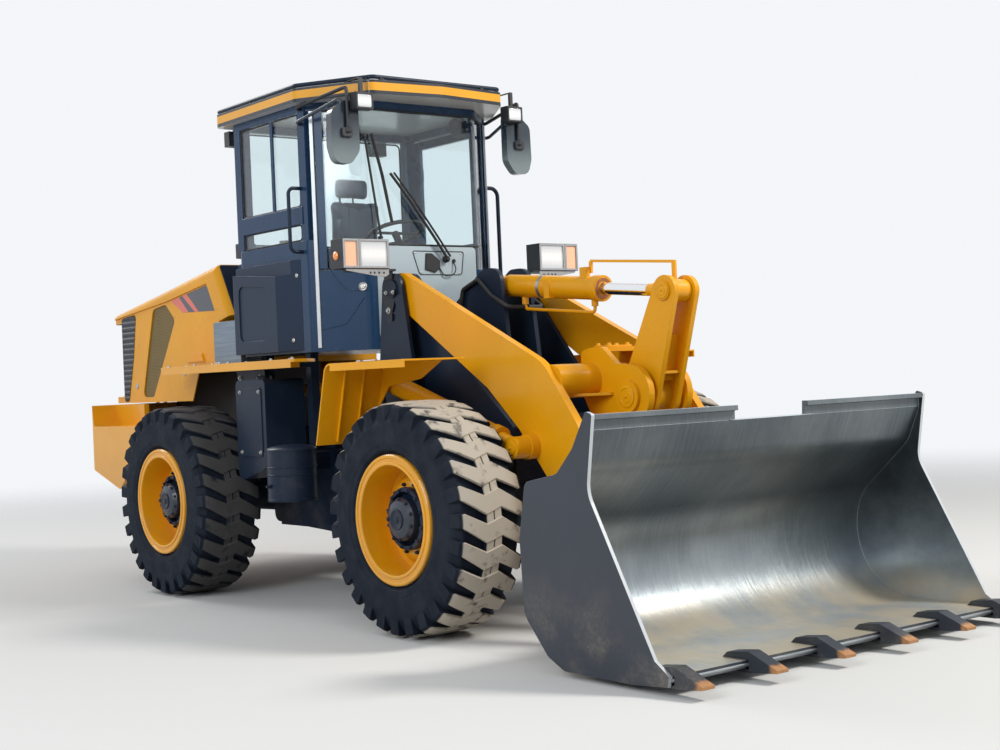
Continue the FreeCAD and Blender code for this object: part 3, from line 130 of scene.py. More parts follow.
# Paints that the whole machine shares: yellow lacquer and blue-black lacquer, sprayed on steel,
# with a fine orange peel, and thin dust where the rain leaves it.
class Tone:
    """A socket of a material; sums on it add Math nodes, node() adds any other."""

    def __init__(self, tree, socket=None):
        self.tree = tree
        self.socket = socket

    def node(self, kind, settings=(), sockets=(), out=0):
        made = self.tree.nodes.new("ShaderNode" + kind)
        for name, value in dict(settings).items():
            setattr(made, name, value)
        for name, value in dict(sockets).items():
            if isinstance(value, Tone):
                self.tree.links.new(value.socket, made.inputs[name])
            else:
                made.inputs[name].default_value = value
        return Tone(self.tree, made.outputs[out])

    def sum(self, operation, a, b=0.0):
        return self.node("Math", {"operation": operation}, {0: a, 1: b})

    def __add__(self, other):
        return self.sum("ADD", self, other)

    def __mul__(self, other):
        return self.sum("MULTIPLY", self, other)

    def __sub__(self, other):
        return self.sum("SUBTRACT", self, other)

    def __rsub__(self, other):
        return self.sum("SUBTRACT", other, self)

    def __gt__(self, other):
        return self.sum("GREATER_THAN", self, other)

    def __lt__(self, other):
        return self.sum("LESS_THAN", self, other)

    __radd__ = __add__
    __rmul__ = __mul__

    def size(self):
        return self.sum("ABSOLUTE", self)

    def ramp(self, low, high):
        return self.node("MapRange", {"interpolation_type": "SMOOTHSTEP"},
                         {"Value": self, "From Min": low, "From Max": high})

    def cell(self, pitch):
        """Distance from the middle of the cell of a repeat, 0 to 0.5."""
        return (self.sum("FRACT", self * (1 / pitch)) - 0.5).size()

    def noise(self, scale, detail=4, roughness=0.55):
        return self.node("TexNoise", {}, {"Vector": self, "Scale": scale, "Detail": detail,
                                          "Roughness": roughness})

    def part(self, axis):
        return self.node("SeparateXYZ", {}, {0: self}, axis)

    def scaled(self, by):
        return self.node("VectorMath", {"operation": "MULTIPLY"}, {0: self, 1: by})

    def far(self, point, plane=(1, 0, 1)):
        """Distance from a point, seen along an axis."""
        flat = tuple(c * k for c, k in zip(point, plane))
        return self.node("VectorMath", {"operation": "DISTANCE"},
                         {0: self.scaled(plane), 1: flat}, 1)

    def facing(self):
        """The direction that the surface faces, in the object's own frame."""
        return self.node("TexCoord", out=1)

    def dot(self, other):
        return self.node("VectorMath", {"operation": "DOT_PRODUCT"}, {0: self, 1: other}, 1)

    def mix(self, a, b):
        """Colour b over colour a by this mask."""
        colours = [c if isinstance(c, Tone) else (*c, 1) for c in (a, b)]
        return self.node("Mix", {"data_type": "RGBA"}, {0: self, 6: colours[0], 7: colours[1]}, 2)


def finish(name, colour, roughness, metallic=0, bump=None, bump_depth=0.002, edge=0.003,
           coat=0, transmission=0, ior=1.45, glow=None, sheen=0.5):
    """A material; each value may be a number, a colour, or a function of the place."""
    material = bpy.data.materials.new(name)
    material.use_nodes = True
    tree = material.node_tree
    shader = tree.nodes["Principled BSDF"]
    shader.inputs["Coat Roughness"].default_value = 0.08
    shader.inputs["Transmission Weight"].default_value = transmission
    shader.inputs["IOR"].default_value = ior
    shader.inputs["Specular IOR Level"].default_value = sheen
    tone = Tone(tree)
    place = tone.node("TexCoord", out=3)
    values = {"Base Color": colour, "Roughness": roughness, "Metallic": metallic,
              "Coat Weight": coat}
    for socket, value in values.items():
        value = value(place) if callable(value) else value
        if isinstance(value, Tone):
            tree.links.new(value.socket, shader.inputs[socket])
        elif isinstance(value, tuple):
            shader.inputs[socket].default_value = (*value, 1)
        else:
            shader.inputs[socket].default_value = value
    if glow:
        shader.inputs["Emission Color"].default_value = (*glow[0], 1)
        shader.inputs["Emission Strength"].default_value = glow[1]
    normal = None
    if edge:
        normal = tone.node("Bevel", {"samples": 4}, {"Radius": edge})
    if bump:
        links = {"Height": bump(place), "Distance": bump_depth, "Strength": 1.0}
        if normal:
            links["Normal"] = normal
        normal = tone.node("Bump", {}, links)
    if normal:
        tree.links.new(normal.socket, shader.inputs["Normal"])
    return material


def dress(material, *names):
    """Gives CAD nodes their finish."""
    for name in names:
        node = NODES[name]
        node.data.materials.clear()
        node.data.materials.append(material)


YELLOW = (0.80, 0.355, 0.004)
NAVY = (0.011, 0.020, 0.040)
CLAY = (0.30, 0.25, 0.19)


def dusty(base, dust=CLAY, low=0.0, high=1.3, share=0.6):
    """Paint under thin dust that gathers towards the ground."""
    def colour(place):
        height = place.part(2).ramp(high, low)
        patch = place.noise(3.5, 8, 0.65).ramp(0.42, 0.72)
        fine = place.noise(60, 3).ramp(0.35, 0.75)
        mottled = place.noise(1.3, 3).ramp(0.3, 0.7).mix(base, tuple(c * 0.88 for c in base))
        return (height * patch * (fine * 0.5 + 0.3) * share).mix(mottled, dust)
    return colour


def orange_peel(place):
    return place.noise(420, 2)


yellow_paint = finish("yellow_lacquer", dusty(YELLOW), lambda p: p.noise(5) * 0.18 + 0.2,
                      bump=orange_peel, bump_depth=0.0002, coat=0.15, sheen=0.25)
dark_paint = finish("blue_black_lacquer", dusty(NAVY), lambda p: p.noise(5) * 0.2 + 0.26,
                    bump=orange_peel, bump_depth=0.0002, coat=0.05, sheen=0.2)
bolt_steel = finish("zinc_plated_steel", lambda p: p.noise(70, 3).mix((0.33, 0.33, 0.33),
                                                                      (0.55, 0.54, 0.50)),
                    lambda p: p.noise(90) * 0.3 + 0.25, 0.9, edge=0.0006)
black_rubber = finish("black_rubber", lambda p: p.noise(40, 3).mix((0.010, 0.010, 0.011),
                                                                   (0.020, 0.020, 0.021)),
                      lambda p: p.noise(60) * 0.2 + 0.5, edge=0.001)


# Tyres: four rock-tread tyres, black rubber with deep lugs that run in a Z across the tread and
# tie blocks between them, moulded with the carcass. Pale dust lies on the front pair's lugs.
TYRE_R = 0.66
TYRE_HALF = 0.2225
LUG_DEPTH = 0.04
LUG_COUNT = 27
HALF_TRACK = 0.92
AXLES_X = {"front": 1.125, "rear": -1.745}
HANDS = {"left": 1, "right": -1}


def spot(x, y, z):
    """A place from millimetres about the steering hinge, forward, left and up."""
    return Vector(((x - 310) / 1000, y / 1000, z / 1000))


def piece(name, shape, material, body, place=Matrix.Identity(4), sharp=35):
    """A new piece, made of a bmesh, that rides on a body."""
    bmesh.ops.recalc_face_normals(shape, faces=shape.faces)
    mesh = bpy.data.meshes.new(name)
    shape.to_mesh(mesh)
    shape.free()
    mesh.transform(place)
    mesh.materials.append(material)
    for face in mesh.polygons:
        face.use_smooth = True
    mesh.set_sharp_from_angle(angle=math.radians(sharp))
    made = bpy.data.objects.new(name, mesh)
    bpy.context.collection.objects.link(made)
    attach(made, body)
    return made


def turned(shape, rows, steps=24, place=(0, 0, 0), way=(0, 1, 0)):
    """Adds a form turned about a line from rows of (along, radius)."""
    way = Vector(way).normalized()
    across = Vector((1, 0, 0)) if abs(way.x) < 0.8 else Vector((0, 1, 0))
    across = (across - way * across.dot(way)).normalized()
    other = across.cross(way)
    rings = []
    for along, radius in rows:
        ring = []
        for i in range(steps if radius > 1e-6 else 1):
            angle = math.tau * i / steps
            ring.append(shape.verts.new(Vector(place) + way * along
                                        + (across * math.cos(angle) + other * math.sin(angle))
                                        * radius))
        rings.append(ring)
    for a, b in zip(rings, rings[1:]):
        for i in range(steps):
            j = (i + 1) % steps
            kept = []
            for corner in (a[i % len(a)], a[j % len(a)], b[j % len(b)], b[i % len(b)]):
                if corner not in kept:
                    kept.append(corner)
            if len(kept) > 2:
                shape.faces.new(kept)
    return shape


def ringed(shape, rows, steps=48, place=(0, 0, 0), way=(0, 1, 0)):
    """Adds a ring whose cross-section is a closed line of (along, radius)."""
    start = len(shape.verts)
    turned(shape, rows + rows[:1], steps, place, way)
    shape.verts.ensure_lookup_table()
    bmesh.ops.remove_doubles(shape, verts=shape.verts[start:], dist=1e-6)
    return shape


def rounded(rows, steps=5):
    """Rows of (u, v, corner radius) as a line of points, its corners turned into arcs."""
    points = []
    for i, (u, v, radius) in enumerate(rows):
        here = Vector((u, v))
        if not radius or i in (0, len(rows) - 1):
            points.append((u, v))
            continue
        back = (Vector(rows[i - 1][:2]) - here).normalized()
        ahead = (Vector(rows[i + 1][:2]) - here).normalized()
        half = back.angle(ahead) / 2
        reach = radius / math.tan(half)
        middle = here + (back + ahead).normalized() * (radius / math.sin(half))
        start, end = here + back * reach - middle, here + ahead * reach - middle
        turn = start.angle_signed(end)
        for k in range(steps + 1):
            place = middle + Matrix.Rotation(-turn * k / steps, 2) @ start
            points.append((place.x, place.y))
    return points


def tyre_shape():
    tread = TYRE_R - LUG_DEPTH
    half = TYRE_HALF
    side = [(half - 0.03, 0.3178, 0), (half - 0.03, 0.372, 0), (half - 0.004, 0.392, 0.01),
            (half, 0.44, 0.02), (half, tread - 0.075, 0.05), (half - 0.035, tread - 0.004, 0.02),
            (half - 0.05, tread, 0)]
    line = rounded(side, 6)
    shape = ringed(bmesh.new(), line + [(-y, r) for y, r in reversed(line)], 132)
    # two fine ribs moulded round each wall
    for radius in (0.425, 0.535):
        for hand in (1, -1):
            ringed(shape, [(hand * (half - 0.006), radius - 0.004), (hand * half, radius - 0.0015),
                           (hand * half, radius + 0.0015), (hand * (half - 0.006), radius + 0.004)],
                   96)
    # lug: place across, how far its middle leads along the tread, half its width, drop of its top
    plan = [(half - 0.0015, 0.064, 0.040, 0.028), (0.188, 0.056, 0.044, 0.008),
            (0.12, 0.020, 0.048, 0.003), (0.05, -0.017, 0.053, 0.001),
            (0.0, 0.0, 0.053, 0), (-0.05, 0.017, 0.053, 0.001), (-0.12, -0.020, 0.048, 0.003),
            (-0.188, -0.056, 0.044, 0.008), (0.0015 - half, -0.064, 0.040, 0.028)]
    for i in range(LUG_COUNT):
        turn = i * math.tau / LUG_COUNT
        rings = []
        for k, (across, lead, wide, drop) in enumerate(plan):
            last = k in (0, len(plan) - 1)
            top = TYRE_R - drop
            foot = tread - (0.075 if last else 0.02)
            profile = [(-wide - 0.004, foot), (-wide, top - 0.006), (-wide + 0.005, top),
                       (wide - 0.005, top), (wide, top - 0.006), (wide + 0.004, foot)]
            rings.append([shape.verts.new((radius * math.sin(turn + (lead + along) / TYRE_R), across,
                                           radius * math.cos(turn + (lead + along) / TYRE_R)))
                          for along, radius in profile])
        for a, b in zip(rings, rings[1:]):
            for k in range(5):
                shape.faces.new((a[k], a[k + 1], b[k + 1], b[k]))
        shape.faces.new(rings[0])
        shape.faces.new(rings[-1])
        # two tie blocks bridge the gap to the next lug
        pitch = math.tau * TYRE_R / LUG_COUNT
        for y0, y1 in ((-0.049, -0.006), (0.004, 0.044)):
            rings = []
            for across in (y0, y1):
                lead = -0.34 * across
                rings.append([shape.verts.new((radius * math.sin(turn + (lead + along) / TYRE_R),
                                               across,
                                               radius * math.cos(turn + (lead + along) / TYRE_R)))
                              for along, radius in ((0.045, tread - 0.02), (0.045, TYRE_R - 0.007),
                                                    (pitch / 2, TYRE_R - 0.0085),
                                                    (pitch - 0.045, TYRE_R - 0.007),
                                                    (pitch - 0.045, tread - 0.02))])
            for k in range(4):
                shape.faces.new((rings[0][k], rings[0][k + 1], rings[1][k + 1], rings[1][k]))
            shape.faces.new(rings[0])
            shape.faces.new(rings[1])
    return shape


def at_wheel(end, hand):
    place = Matrix.Translation((AXLES_X[end], HALF_TRACK * HANDS[hand], TYRE_R))
    return place if hand == "left" else place @ Matrix.Rotation(math.pi, 4, "Z")


def rubber_colour(x, dust):
    def colour(place):
        rubber = place.noise(9, 6).ramp(0.3, 0.7).mix((0.008, 0.012, 0.021),
                                                      (0.017, 0.022, 0.033))
        faces = place.far((x, 0, TYRE_R)).ramp(0.640, 0.646)
        return (faces * place.noise(11, 6).ramp(0.25, 0.45) * dust).mix(rubber, (0.46, 0.41, 0.34))
    return colour


for end, x in AXLES_X.items():
    rubber = finish(f"rubber_{end}", rubber_colour(x, {"front": 0.95, "rear": 0.12}[end]),
                    lambda p: p.noise(30) * 0.3 + 0.5, bump=lambda p: p.noise(240, 3),
                    bump_depth=0.0006, edge=0, sheen=0.12)
    for hand in HANDS:
        tyre = piece(f"rock_tyre_{end}_{hand}", tyre_shape(), rubber, f"wheel_{end}_{hand}",
                     at_wheel(end, hand), sharp=28)
        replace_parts(tyre, f"tyre_{end}_{hand}")


# Wheels: yellow steel rims with a lock ring in the outer flange, bolted by their dished disc to
# dark planetary hubs. Nuts, cover bolts and the oil plug are turned and milled steel.
def rim_colour(x):
    def colour(place):
        hub = place.far((x, 0, TYRE_R)) < 0.1515
        return hub.mix(dusty(YELLOW, high=1.0)(place), dusty(NAVY, high=1.0)(place))
    return colour


def bolt(shape, place, way, across, tall, washer=1.5):
    """Adds a hexagon head on a washer."""
    half = across / 2
    if washer:
        wide = half * washer
        turned(shape, [(0, 0), (0, wide), (tall * 0.22, wide), (tall * 0.28, wide * 0.93),
                       (tall * 0.28, 0)], 16, place, way)
    turned(shape, [(tall * 0.2, half), (tall * 0.85, half), (tall, half * 0.88), (tall, 0)], 6,
           place, way)


def around(radius, y, count):
    for i in range(count):
        angle = math.tau * (i + 0.5) / count
        yield Vector((radius * math.cos(angle), y, radius * math.sin(angle)))


for end, x in AXLES_X.items():
    rim_paint = finish(f"rim_lacquer_{end}", rim_colour(x), lambda p: p.noise(6) * 0.2 + 0.25,
                       bump=orange_peel, bump_depth=0.0002, coat=0.4)
    dress(rim_paint, f"rim_{end}_left", f"rim_{end}_right")
    for hand in HANDS:
        name, place = f"wheel_{end}_{hand}", at_wheel(end, hand)
        ring = ringed(bmesh.new(), [(0.2142, 0.3056), (0.2200, 0.308), (0.2216, 0.313),
                                    (0.2216, 0.320), (0.2195, 0.325), (0.2142, 0.327)], 96)
        ringed(ring, [(0.2142, 0.343), (0.2190, 0.346), (0.2204, 0.352), (0.2198, 0.360),
                      (0.2142, 0.3665)], 96)
        piece(f"lock_ring_{end}_{hand}", ring, rim_paint, name, place)
        nuts = bmesh.new()
        for at in around(0.1945, 0.0801, 12):
            bolt(nuts, at, (0, 1, 0), 0.024, 0.016, 0)
            turned(nuts, [(0.010, 0.007), (0.022, 0.007), (0.024, 0.005), (0.024, 0)], 12, at)
        piece(f"wheel_nuts_{end}_{hand}", nuts, dark_paint, name, place)
        cover = bmesh.new()
        ringed(cover, [(0.0805, 0.151), (0.0805, 0.176), (0.100, 0.1775), (0.118, 0.1775),
                       (0.1245, 0.174), (0.1265, 0.168), (0.1265, 0.152)], 48)
        for at in around(0.162, 0.1266, 12):
            bolt(cover, at, (0, 1, 0), 0.019, 0.012, 1.2)
        for at in around(0.112, 0.1608, 10):
            bolt(cover, at, (0.35 * at.x / 0.112, 1, 0.35 * at.z / 0.112), 0.017, 0.010, 1.35)
        turned(cover, [(0.1815, 0.060), (0.1880, 0.058), (0.1890, 0.052), (0.1870, 0.048),
                       (0.1880, 0.020), (0.1930, 0.018), (0.1935, 0)], 40)
        bolt(cover, Vector((0.086, 0.1779, 0)), (0.3, 1, 0), 0.022, 0.012, 1.3)
        piece(f"hub_cover_{end}_{hand}", cover, dark_paint, name, place)
        valve = turned(bmesh.new(), [(0, 0.006), (0.02, 0.006), (0.021, 0.004), (0.045, 0.004),
                                     (0.045, 0)], 12, (0.26, 0.021, 0), (0.25, 1, 0))
        piece(f"tyre_valve_{end}_{hand}", valve, bolt_steel, name, place)


# Frames, axles and tanks: welded plate and castings under blue-black lacquer, greyed by dust
# below. The air tank hangs on the right with rolled bands and a pressed lid.
iron = finish("cast_iron", dusty((0.040, 0.041, 0.045)), 0.55, bump=lambda p: p.noise(180, 4),
              bump_depth=0.0015)
dress(dark_paint, "rear_frame", "cab_stands", "front_frame", "air_tank", "side_tanks", "ladder",
      "rear_axle", "front_axle", "roof_rail", "grab_rails")
dress(iron, "engine_block", "transmission")


def plate(shape, outline, depth, place, across=(1, 0, 0), up=(0, 0, 1), soft=0.0):
    """Adds a plate: an outline of (u, v) on two directions, thickened by depth towards the
    viewer who sees it with across to the right and up above."""
    across, up = Vector(across).normalized(), Vector(up).normalized()
    out = across.cross(up)
    base = [shape.verts.new(Vector(place) + across * u + up * v) for u, v in outline]
    top = [shape.verts.new(vert.co + out * depth) for vert in base]
    faces = [shape.faces.new(base), shape.faces.new(top)]
    for i in range(len(base)):
        j = (i + 1) % len(base)
        faces.append(shape.faces.new((base[i], base[j], top[j], top[i])))
    if soft:
        edges = {edge for edge in faces[1].edges}
        bmesh.ops.bevel(shape, geom=list(edges), offset=soft, segments=2, affect="EDGES")
    return shape


def panel(width, height, radius, u=0, v=0):
    """Outline of a rectangle with round corners, its low left corner at (u, v)."""
    rows = [(u, v + height / 2, 0), (u, v, radius), (u + width, v, radius),
            (u + width, v + height, radius), (u, v + height, radius), (u, v + height / 2, 0)]
    return rounded(rows, 4)[:-1]


TANK = spot(-20, -900, 0)
bands = bmesh.new()
for z in (0.712, 0.868, 0.916):
    ringed(bands, [(z - 0.006, 0.1595), (z - 0.003, 0.1638), (z + 0.003, 0.1638),
                   (z + 0.006, 0.1595)], 48, TANK, (0, 0, 1))
turned(bands, [(1.0195, 0.1595), (1.0195, 0.1635), (1.030, 0.1630), (1.0375, 0.155),
               (1.048, 0.125), (1.055, 0.085), (1.059, 0.04), (1.060, 0)], 48, TANK, (0, 0, 1))
turned(bands, [(0, 0.012), (0.02, 0.012), (0.02, 0.008), (0.035, 0.008), (0.035, 0)], 12,
       TANK + Vector((0, -0.158, 0.8)), (0, -1, 0))
piece("air_tank_bands", bands, dark_paint, "rear_frame")

fixings = bmesh.new()
for side in (-1, 1):
    for x, z in ((-1130, 1345), (-990, 1345), (-850, 1345), (-1130, 1500), (-850, 1500)):
        bolt(fixings, spot(x, side * 635.2, z), (0, side, 0), 0.024, 0.015)
    # clamps on the running board's edge
    for x in (-1010, -970):
        bolt(fixings, spot(x, side * 880, 1600.2), (0, 0, 1), 0.022, 0.014)
    for x, z in ((-650, 1400), (-400, 1400), (-650, 1000), (-400, 1000)):
        bolt(fixings, spot(x, side * 906.4, z), (0, side, 0), 0.018, 0.011)
piece("frame_bolts", fixings, bolt_steel, "rear_frame")
covers = bmesh.new()
for side in (-1, 1):
    rows = [(u * -side, v) for u, v in panel(0.3, 0.46, 0.03, -0.15)]
    plate(covers, rows, 0.006, spot(-525, side * 900.3, 970), (-side, 0, 0), (0, 0, 1), 0.002)
    turned(covers, [(0, 0.05), (0.022, 0.05), (0.026, 0.046), (0.026, 0)], 28,
           spot(-525, side * 790, 1480.3), (0, 0, 1))
piece("tank_cover_plates", covers, dark_paint, "rear_frame")


# Front frame: the tower's plates carry pins with bolted keeper plates, and a keyhole slot for the
# lifting hook in each outer plate, shown as a thin dark sheet of painted shade where the recess is,
# with its pin bolt.
slot_line = rounded([(0, 0.055, 0), (-0.055, 0.055, 0.055), (-0.055, -0.05, 0.06),
                     (-0.03, -0.1, 0.03), (-0.026, -0.175, 0.026), (0.026, -0.175, 0.026),
                     (0.03, -0.1, 0.03), (0.055, -0.05, 0.06), (0.055, 0.055, 0.055),
                     (0, 0.055, 0)], 5)[:-1]
recess = finish("shaded_recess", lambda p: p.noise(30).mix((0.004, 0.006, 0.010),
                                                           (0.010, 0.015, 0.022)), 0.5, edge=0)
slots, keepers, keeper_bolts = bmesh.new(), bmesh.new(), bmesh.new()
for side in (-1, 1):
    plate(slots, [(u * side, v) for u, v in slot_line], 0.0012, spot(636, side * 545.2, 1960),
          (-side, 0, 0), (0, 0, 1))
    bolt(keeper_bolts, spot(628, side * 546.4, 1868), (0, side, 0), 0.026, 0.014)
    # keepers of the arm pin and of the lift cylinder's pin
    for x, z, y in ((640, 1450, 706.2), (670, 2000, 555.2)):
        bar = panel(0.11, 0.034, 0.006, -0.055, -0.017)
        plate(keepers, [(u * side, v) for u, v in bar], 0.008, spot(x, side * y, z - 22),
              (-side, 0, 0), (0, 0, 1), 0.0015)
        for dx in (-38, 38):
            bolt(keeper_bolts, spot(x + dx, side * (y + 8.2), z - 22), (0, side, 0), 0.018, 0.011)
piece("tower_slots", slots, recess, "front_frame")
piece("pin_keepers", keepers, dark_paint, "front_frame")
piece("keeper_bolts", keeper_bolts, bolt_steel, "front_frame")
dress(yellow_paint, "front_fenders")


# Loading linkage: yellow welded arms, bell crank and link on pins with turned caps, each with its
# grease nipple; chromed rods, brown gland rings, and a zinc band round the tilt barrel.
chrome = finish("chromed_rod", lambda p: p.noise(4).mix((0.80, 0.82, 0.85), (0.90, 0.90, 0.91)),
                lambda p: p.noise(60) * 0.10 + 0.05, 1.0, edge=0)
gland = finish("bronze_gland", lambda p: p.noise(60, 3).mix((0.26, 0.085, 0.035),
                                                            (0.42, 0.17, 0.08)), 0.35, 0.6)


def tilt_rod_bare(place):
    """1 on the chrome; the shank, the eye and the level bar are painted."""
    along = (place.part(0) - (1.12 - 0.31)) * 0.9958 - (place.part(2) - 1.99) * 0.0914
    return 1 - ((along > 1.272) + (place.part(2) > 1.995)).ramp(0, 1)


def lift_rod_bare(place):
    along = (place.part(0) - (0.64 - 0.31)) * 0.9523 - (place.part(2) - 1.45) * 0.3056
    return 1 - (along > 1.203)


def rod_finish(name, bare):
    return finish(name, lambda p: bare(p).mix(YELLOW, (0.86, 0.87, 0.89)),
                  lambda p: bare(p) * -0.2 + 0.28, bare, edge=0)


dress(yellow_paint, "boom", "bell_crank", "bucket_link", "lift_barrels", "tilt_barrel",
      "steer_barrel_left", "steer_barrel_right")
dress(rod_finish("tilt_rod_steel", tilt_rod_bare), "tilt_rod")
dress(rod_finish("lift_rod_steel", lift_rod_bare), "lift_rods")
dress(chrome, "steer_rod_left", "steer_rod_right")
dress(black_rubber, "tilt_hoses")


def pin_cap(shape, x, z, y, radius):
    """Adds the turned end of a pin on both sides: a step, a groove and a centre."""
    for side in (-1, 1):
        turned(shape, [(0, radius), (0.004, radius), (0.0055, radius * 0.95),
                       (0.0055, radius * 0.72), (0.003, radius * 0.69), (0.003, radius * 0.6),
                       (0.0055, radius * 0.57), (0.0055, radius * 0.14), (0.012, radius * 0.11),
                       (0.013, 0)], 36, spot(x, side * y, z), (0, side, 0))


lid = plate(bmesh.new(), panel(0.13, 0.19, 0.012, -0.065, -0.095), 0.010, spot(2065, 0, 1571.2),
            (1, 0, 0), (0, 1, 0), soft=0.002)
for x in (2020, 2110):
    for y in (-70, 70):
        bolt(lid, spot(x, y, 1581.2), (0, 0, 1), 0.022, 0.014, 1.5)
piece("carrier_lid", lid, yellow_paint, "boom")


for name, body, spots in (
        ("boom", "boom", ((2360, 1292, 187.2, 0.062),)),
        ("crank", "bell_crank", ((2590, 1855, 108.2, 0.044),)),
        ("bucket", "bucket", ((2590, 300, 561.2, 0.040), (2590, 560, 94.2, 0.034)))):
    caps = bmesh.new()
    for x, z, y, radius in spots:
        pin_cap(caps, x, z, y, radius)
    piece(f"{name}_pin_caps", caps, yellow_paint if name != "bucket" else dark_paint, body)
caps = bmesh.new()
for side in (-1, 1):
    turned(caps, [(0, 0.040), (0.005, 0.040), (0.007, 0.036), (0.007, 0.010), (0.014, 0.008),
                  (0.014, 0)], 32, spot(1930, side * 665.2, 1036), (0, side, 0))
piece("lift_pin_caps", caps, yellow_paint, "lift_rods")

AXIS = Vector((0.9958, 0, -0.0914))
BASE = spot(1120, 0, 1990)
band = ringed(bmesh.new(), [(0.362, 0.0684), (0.362, 0.0705), (0.389, 0.0705), (0.389, 0.0684)],
              48, BASE, AXIS)
turned(band, [(-0.014, 0.006), (0.014, 0.006), (0.014, 0)], 10, BASE + AXIS * 0.3755
       + Vector((0, 0, 0.075)), AXIS)
piece("tilt_barrel_band", band, bolt_steel, "tilt_barrel")
ring = ringed(bmesh.new(), [(0.8892, 0.0415), (0.8892, 0.062), (0.8935, 0.060), (0.8945, 0.044)],
              48, BASE, AXIS)
piece("tilt_gland", ring, gland, "tilt_barrel")


# Bucket: rolled wear-resistant steel, ground bright inside by the first loads with long fine
# scratches, grey paint outside. Cast teeth clamp the bolted edge, their tips worn to rust.
def inside(place):
    """1 on the surfaces that face the middle of the bowl."""
    centre = (2.74, 0, 0.65)
    away = place.node("VectorMath", {"operation": "SUBTRACT"}, {0: place, 1: centre})
    return (place.facing().dot(away) < 0) * (place.part(0) > 2.36)


def edges(place):
    return (place.part(1).size() > 1.2205) * (place.facing().part(0) > 0.55)


def bucket_colour(place):
    streak = place.scaled((4, 210, 4)).noise(1, 6, 0.75).ramp(0.3, 0.7)
    cloud = place.noise(1.4, 5).ramp(0.35, 0.7)
    low = place.part(2).ramp(0.75, 0.12)
    steel = (cloud * 0.6 + streak * 0.4).mix(low.mix((0.07, 0.088, 0.105), (0.26, 0.30, 0.33)),
                                             low.mix((0.20, 0.225, 0.24), (0.48, 0.52, 0.53)))
    mud = place.part(2).ramp(0.30, 0.10) * place.noise(2.6, 7, 0.62).ramp(0.30, 0.62) * 0.85
    bowl = mud.mix(steel, (0.60, 0.51, 0.37))
    # the top guard's edge is bare and pale
    rim = (place.part(2) > 1.145) * (place.facing().part(2) > 0.6) * (place.part(0) > 2.88)
    guard = (place.part(2) > 1.10) * (place.facing().part(0) > 0.4) * (place.part(0) > 2.88)
    paint = dusty((0.036, 0.043, 0.058), high=0.6)(place)
    skin = edges(place).mix(guard.mix(inside(place).mix(paint, bowl), steel), (0.52, 0.55, 0.58))
    return rim.mix(skin, (0.46, 0.52, 0.57))


def bucket_roughness(place):
    streak = place.scaled((5, 130, 5)).noise(1, 4).ramp(0.3, 0.7)
    return inside(place) * (streak * 0.12 - 0.02) + 0.30


bucket_steel = finish("bucket_steel", bucket_colour, bucket_roughness,
                      lambda p: inside(p) * (1 - p.part(2).ramp(0.3, 0.1) * 0.6) * 0.9,
                      bump=lambda p: p.scaled((6, 160, 6)).noise(1, 3) + p.noise(6, 3) * 3.0,
                      bump_depth=0.0006)
dress(bucket_steel, "bucket")
teeth_cast = finish("cast_teeth", lambda p: (p.part(0) + p.noise(30, 4) * 0.05).ramp(3.53, 3.56)
                    .mix(dusty((0.035, 0.042, 0.055), high=0.3)(p),
                         p.noise(50, 4).mix((0.30, 0.12, 0.04), (0.55, 0.30, 0.14))),
                    lambda p: p.noise(40) * 0.3 + 0.4, 0.3, bump=lambda p: p.noise(150, 4),
                    bump_depth=0.001)
edge_steel = finish("ground_edge", lambda p: p.scaled((40, 6, 40)).noise(1, 5).mix(
    (0.30, 0.34, 0.37), (0.62, 0.65, 0.67)), lambda p: p.noise(40) * 0.3 + 0.25, 0.8)
dress(teeth_cast, "bucket_teeth")
dress(edge_steel, "cutting_edge")


# Running boards and ladder: folded plate with raised lozenges under the boots, yellow boards
# bolted over the outriggers, blue-black steps.
def tread(place):
    u = place.part(0) + place.part(1)
    v = place.part(0) - place.part(1)
    lozenge = (u.cell(0.05) < 0.10) * (v.cell(0.05) < 0.36)
    return lozenge * (place.facing().part(2) > 0.8) + place.noise(420, 2) * 0.03


board = finish("tread_plate", dusty(YELLOW), lambda p: p.noise(5) * 0.2 + 0.25, bump=tread,
               bump_depth=0.0025, coat=0.4)
dress(board, "side_platforms")
bolts = bmesh.new()
for side in (-1, 1):
    for x in (-1700, -1300, -810, -230, 40):
        for y in (760, 900):
            if x < 0 or y > 800:
                bolt(bolts, spot(x, side * y, 1600.2), (0, 0, 1), 0.020, 0.012, 1.7)
piece("board_bolts", bolts, bolt_steel, "rear_frame")


# Counterweight: a thick yellow casting at the rear, its skin a little rough from the mould.
casting = finish("painted_casting", dusty(YELLOW), lambda p: p.noise(8) * 0.2 + 0.25,
                 bump=lambda p: p.noise(60, 4) + p.noise(420, 2) * 0.4, bump_depth=0.0008,
                 coat=0.4)
dress(casting, "counterweight")


# Engine hood: pressed yellow panels with a navy panel and two slanted red stripes each side,
# perforated olive mesh in the side openings, a louvred grille behind, the mesh's holes and the
# louvres' gaps painted dark as painted shade, and a blue-black front face.
def hood_colour(place):
    # the face turned forward, towards the cab, is painted blue-black
    front = (place.facing().dot((0.871, 0, 0.492)) > 0.93) * (place.part(0) > -1.66)
    return front.mix(dusty(YELLOW)(place), NAVY)


hood_paint = finish("hood_lacquer", hood_colour, lambda p: p.noise(5) * 0.18 + 0.2,
                    bump=orange_peel, bump_depth=0.0002, coat=0.15, sheen=0.25)
dress(hood_paint, "engine_hood")


def holes(place):
    row = place.part(2).cell(0.011)
    along = place.part(0).cell(0.011)
    return (row * row + along * along) < 0.09


def side_mesh(place):
    return (place.part(0) > -2.97) * (place.part(1).size() > 0.655)


def louvre(place):
    return place.part(2).cell(0.042).ramp(0.05, 0.4)


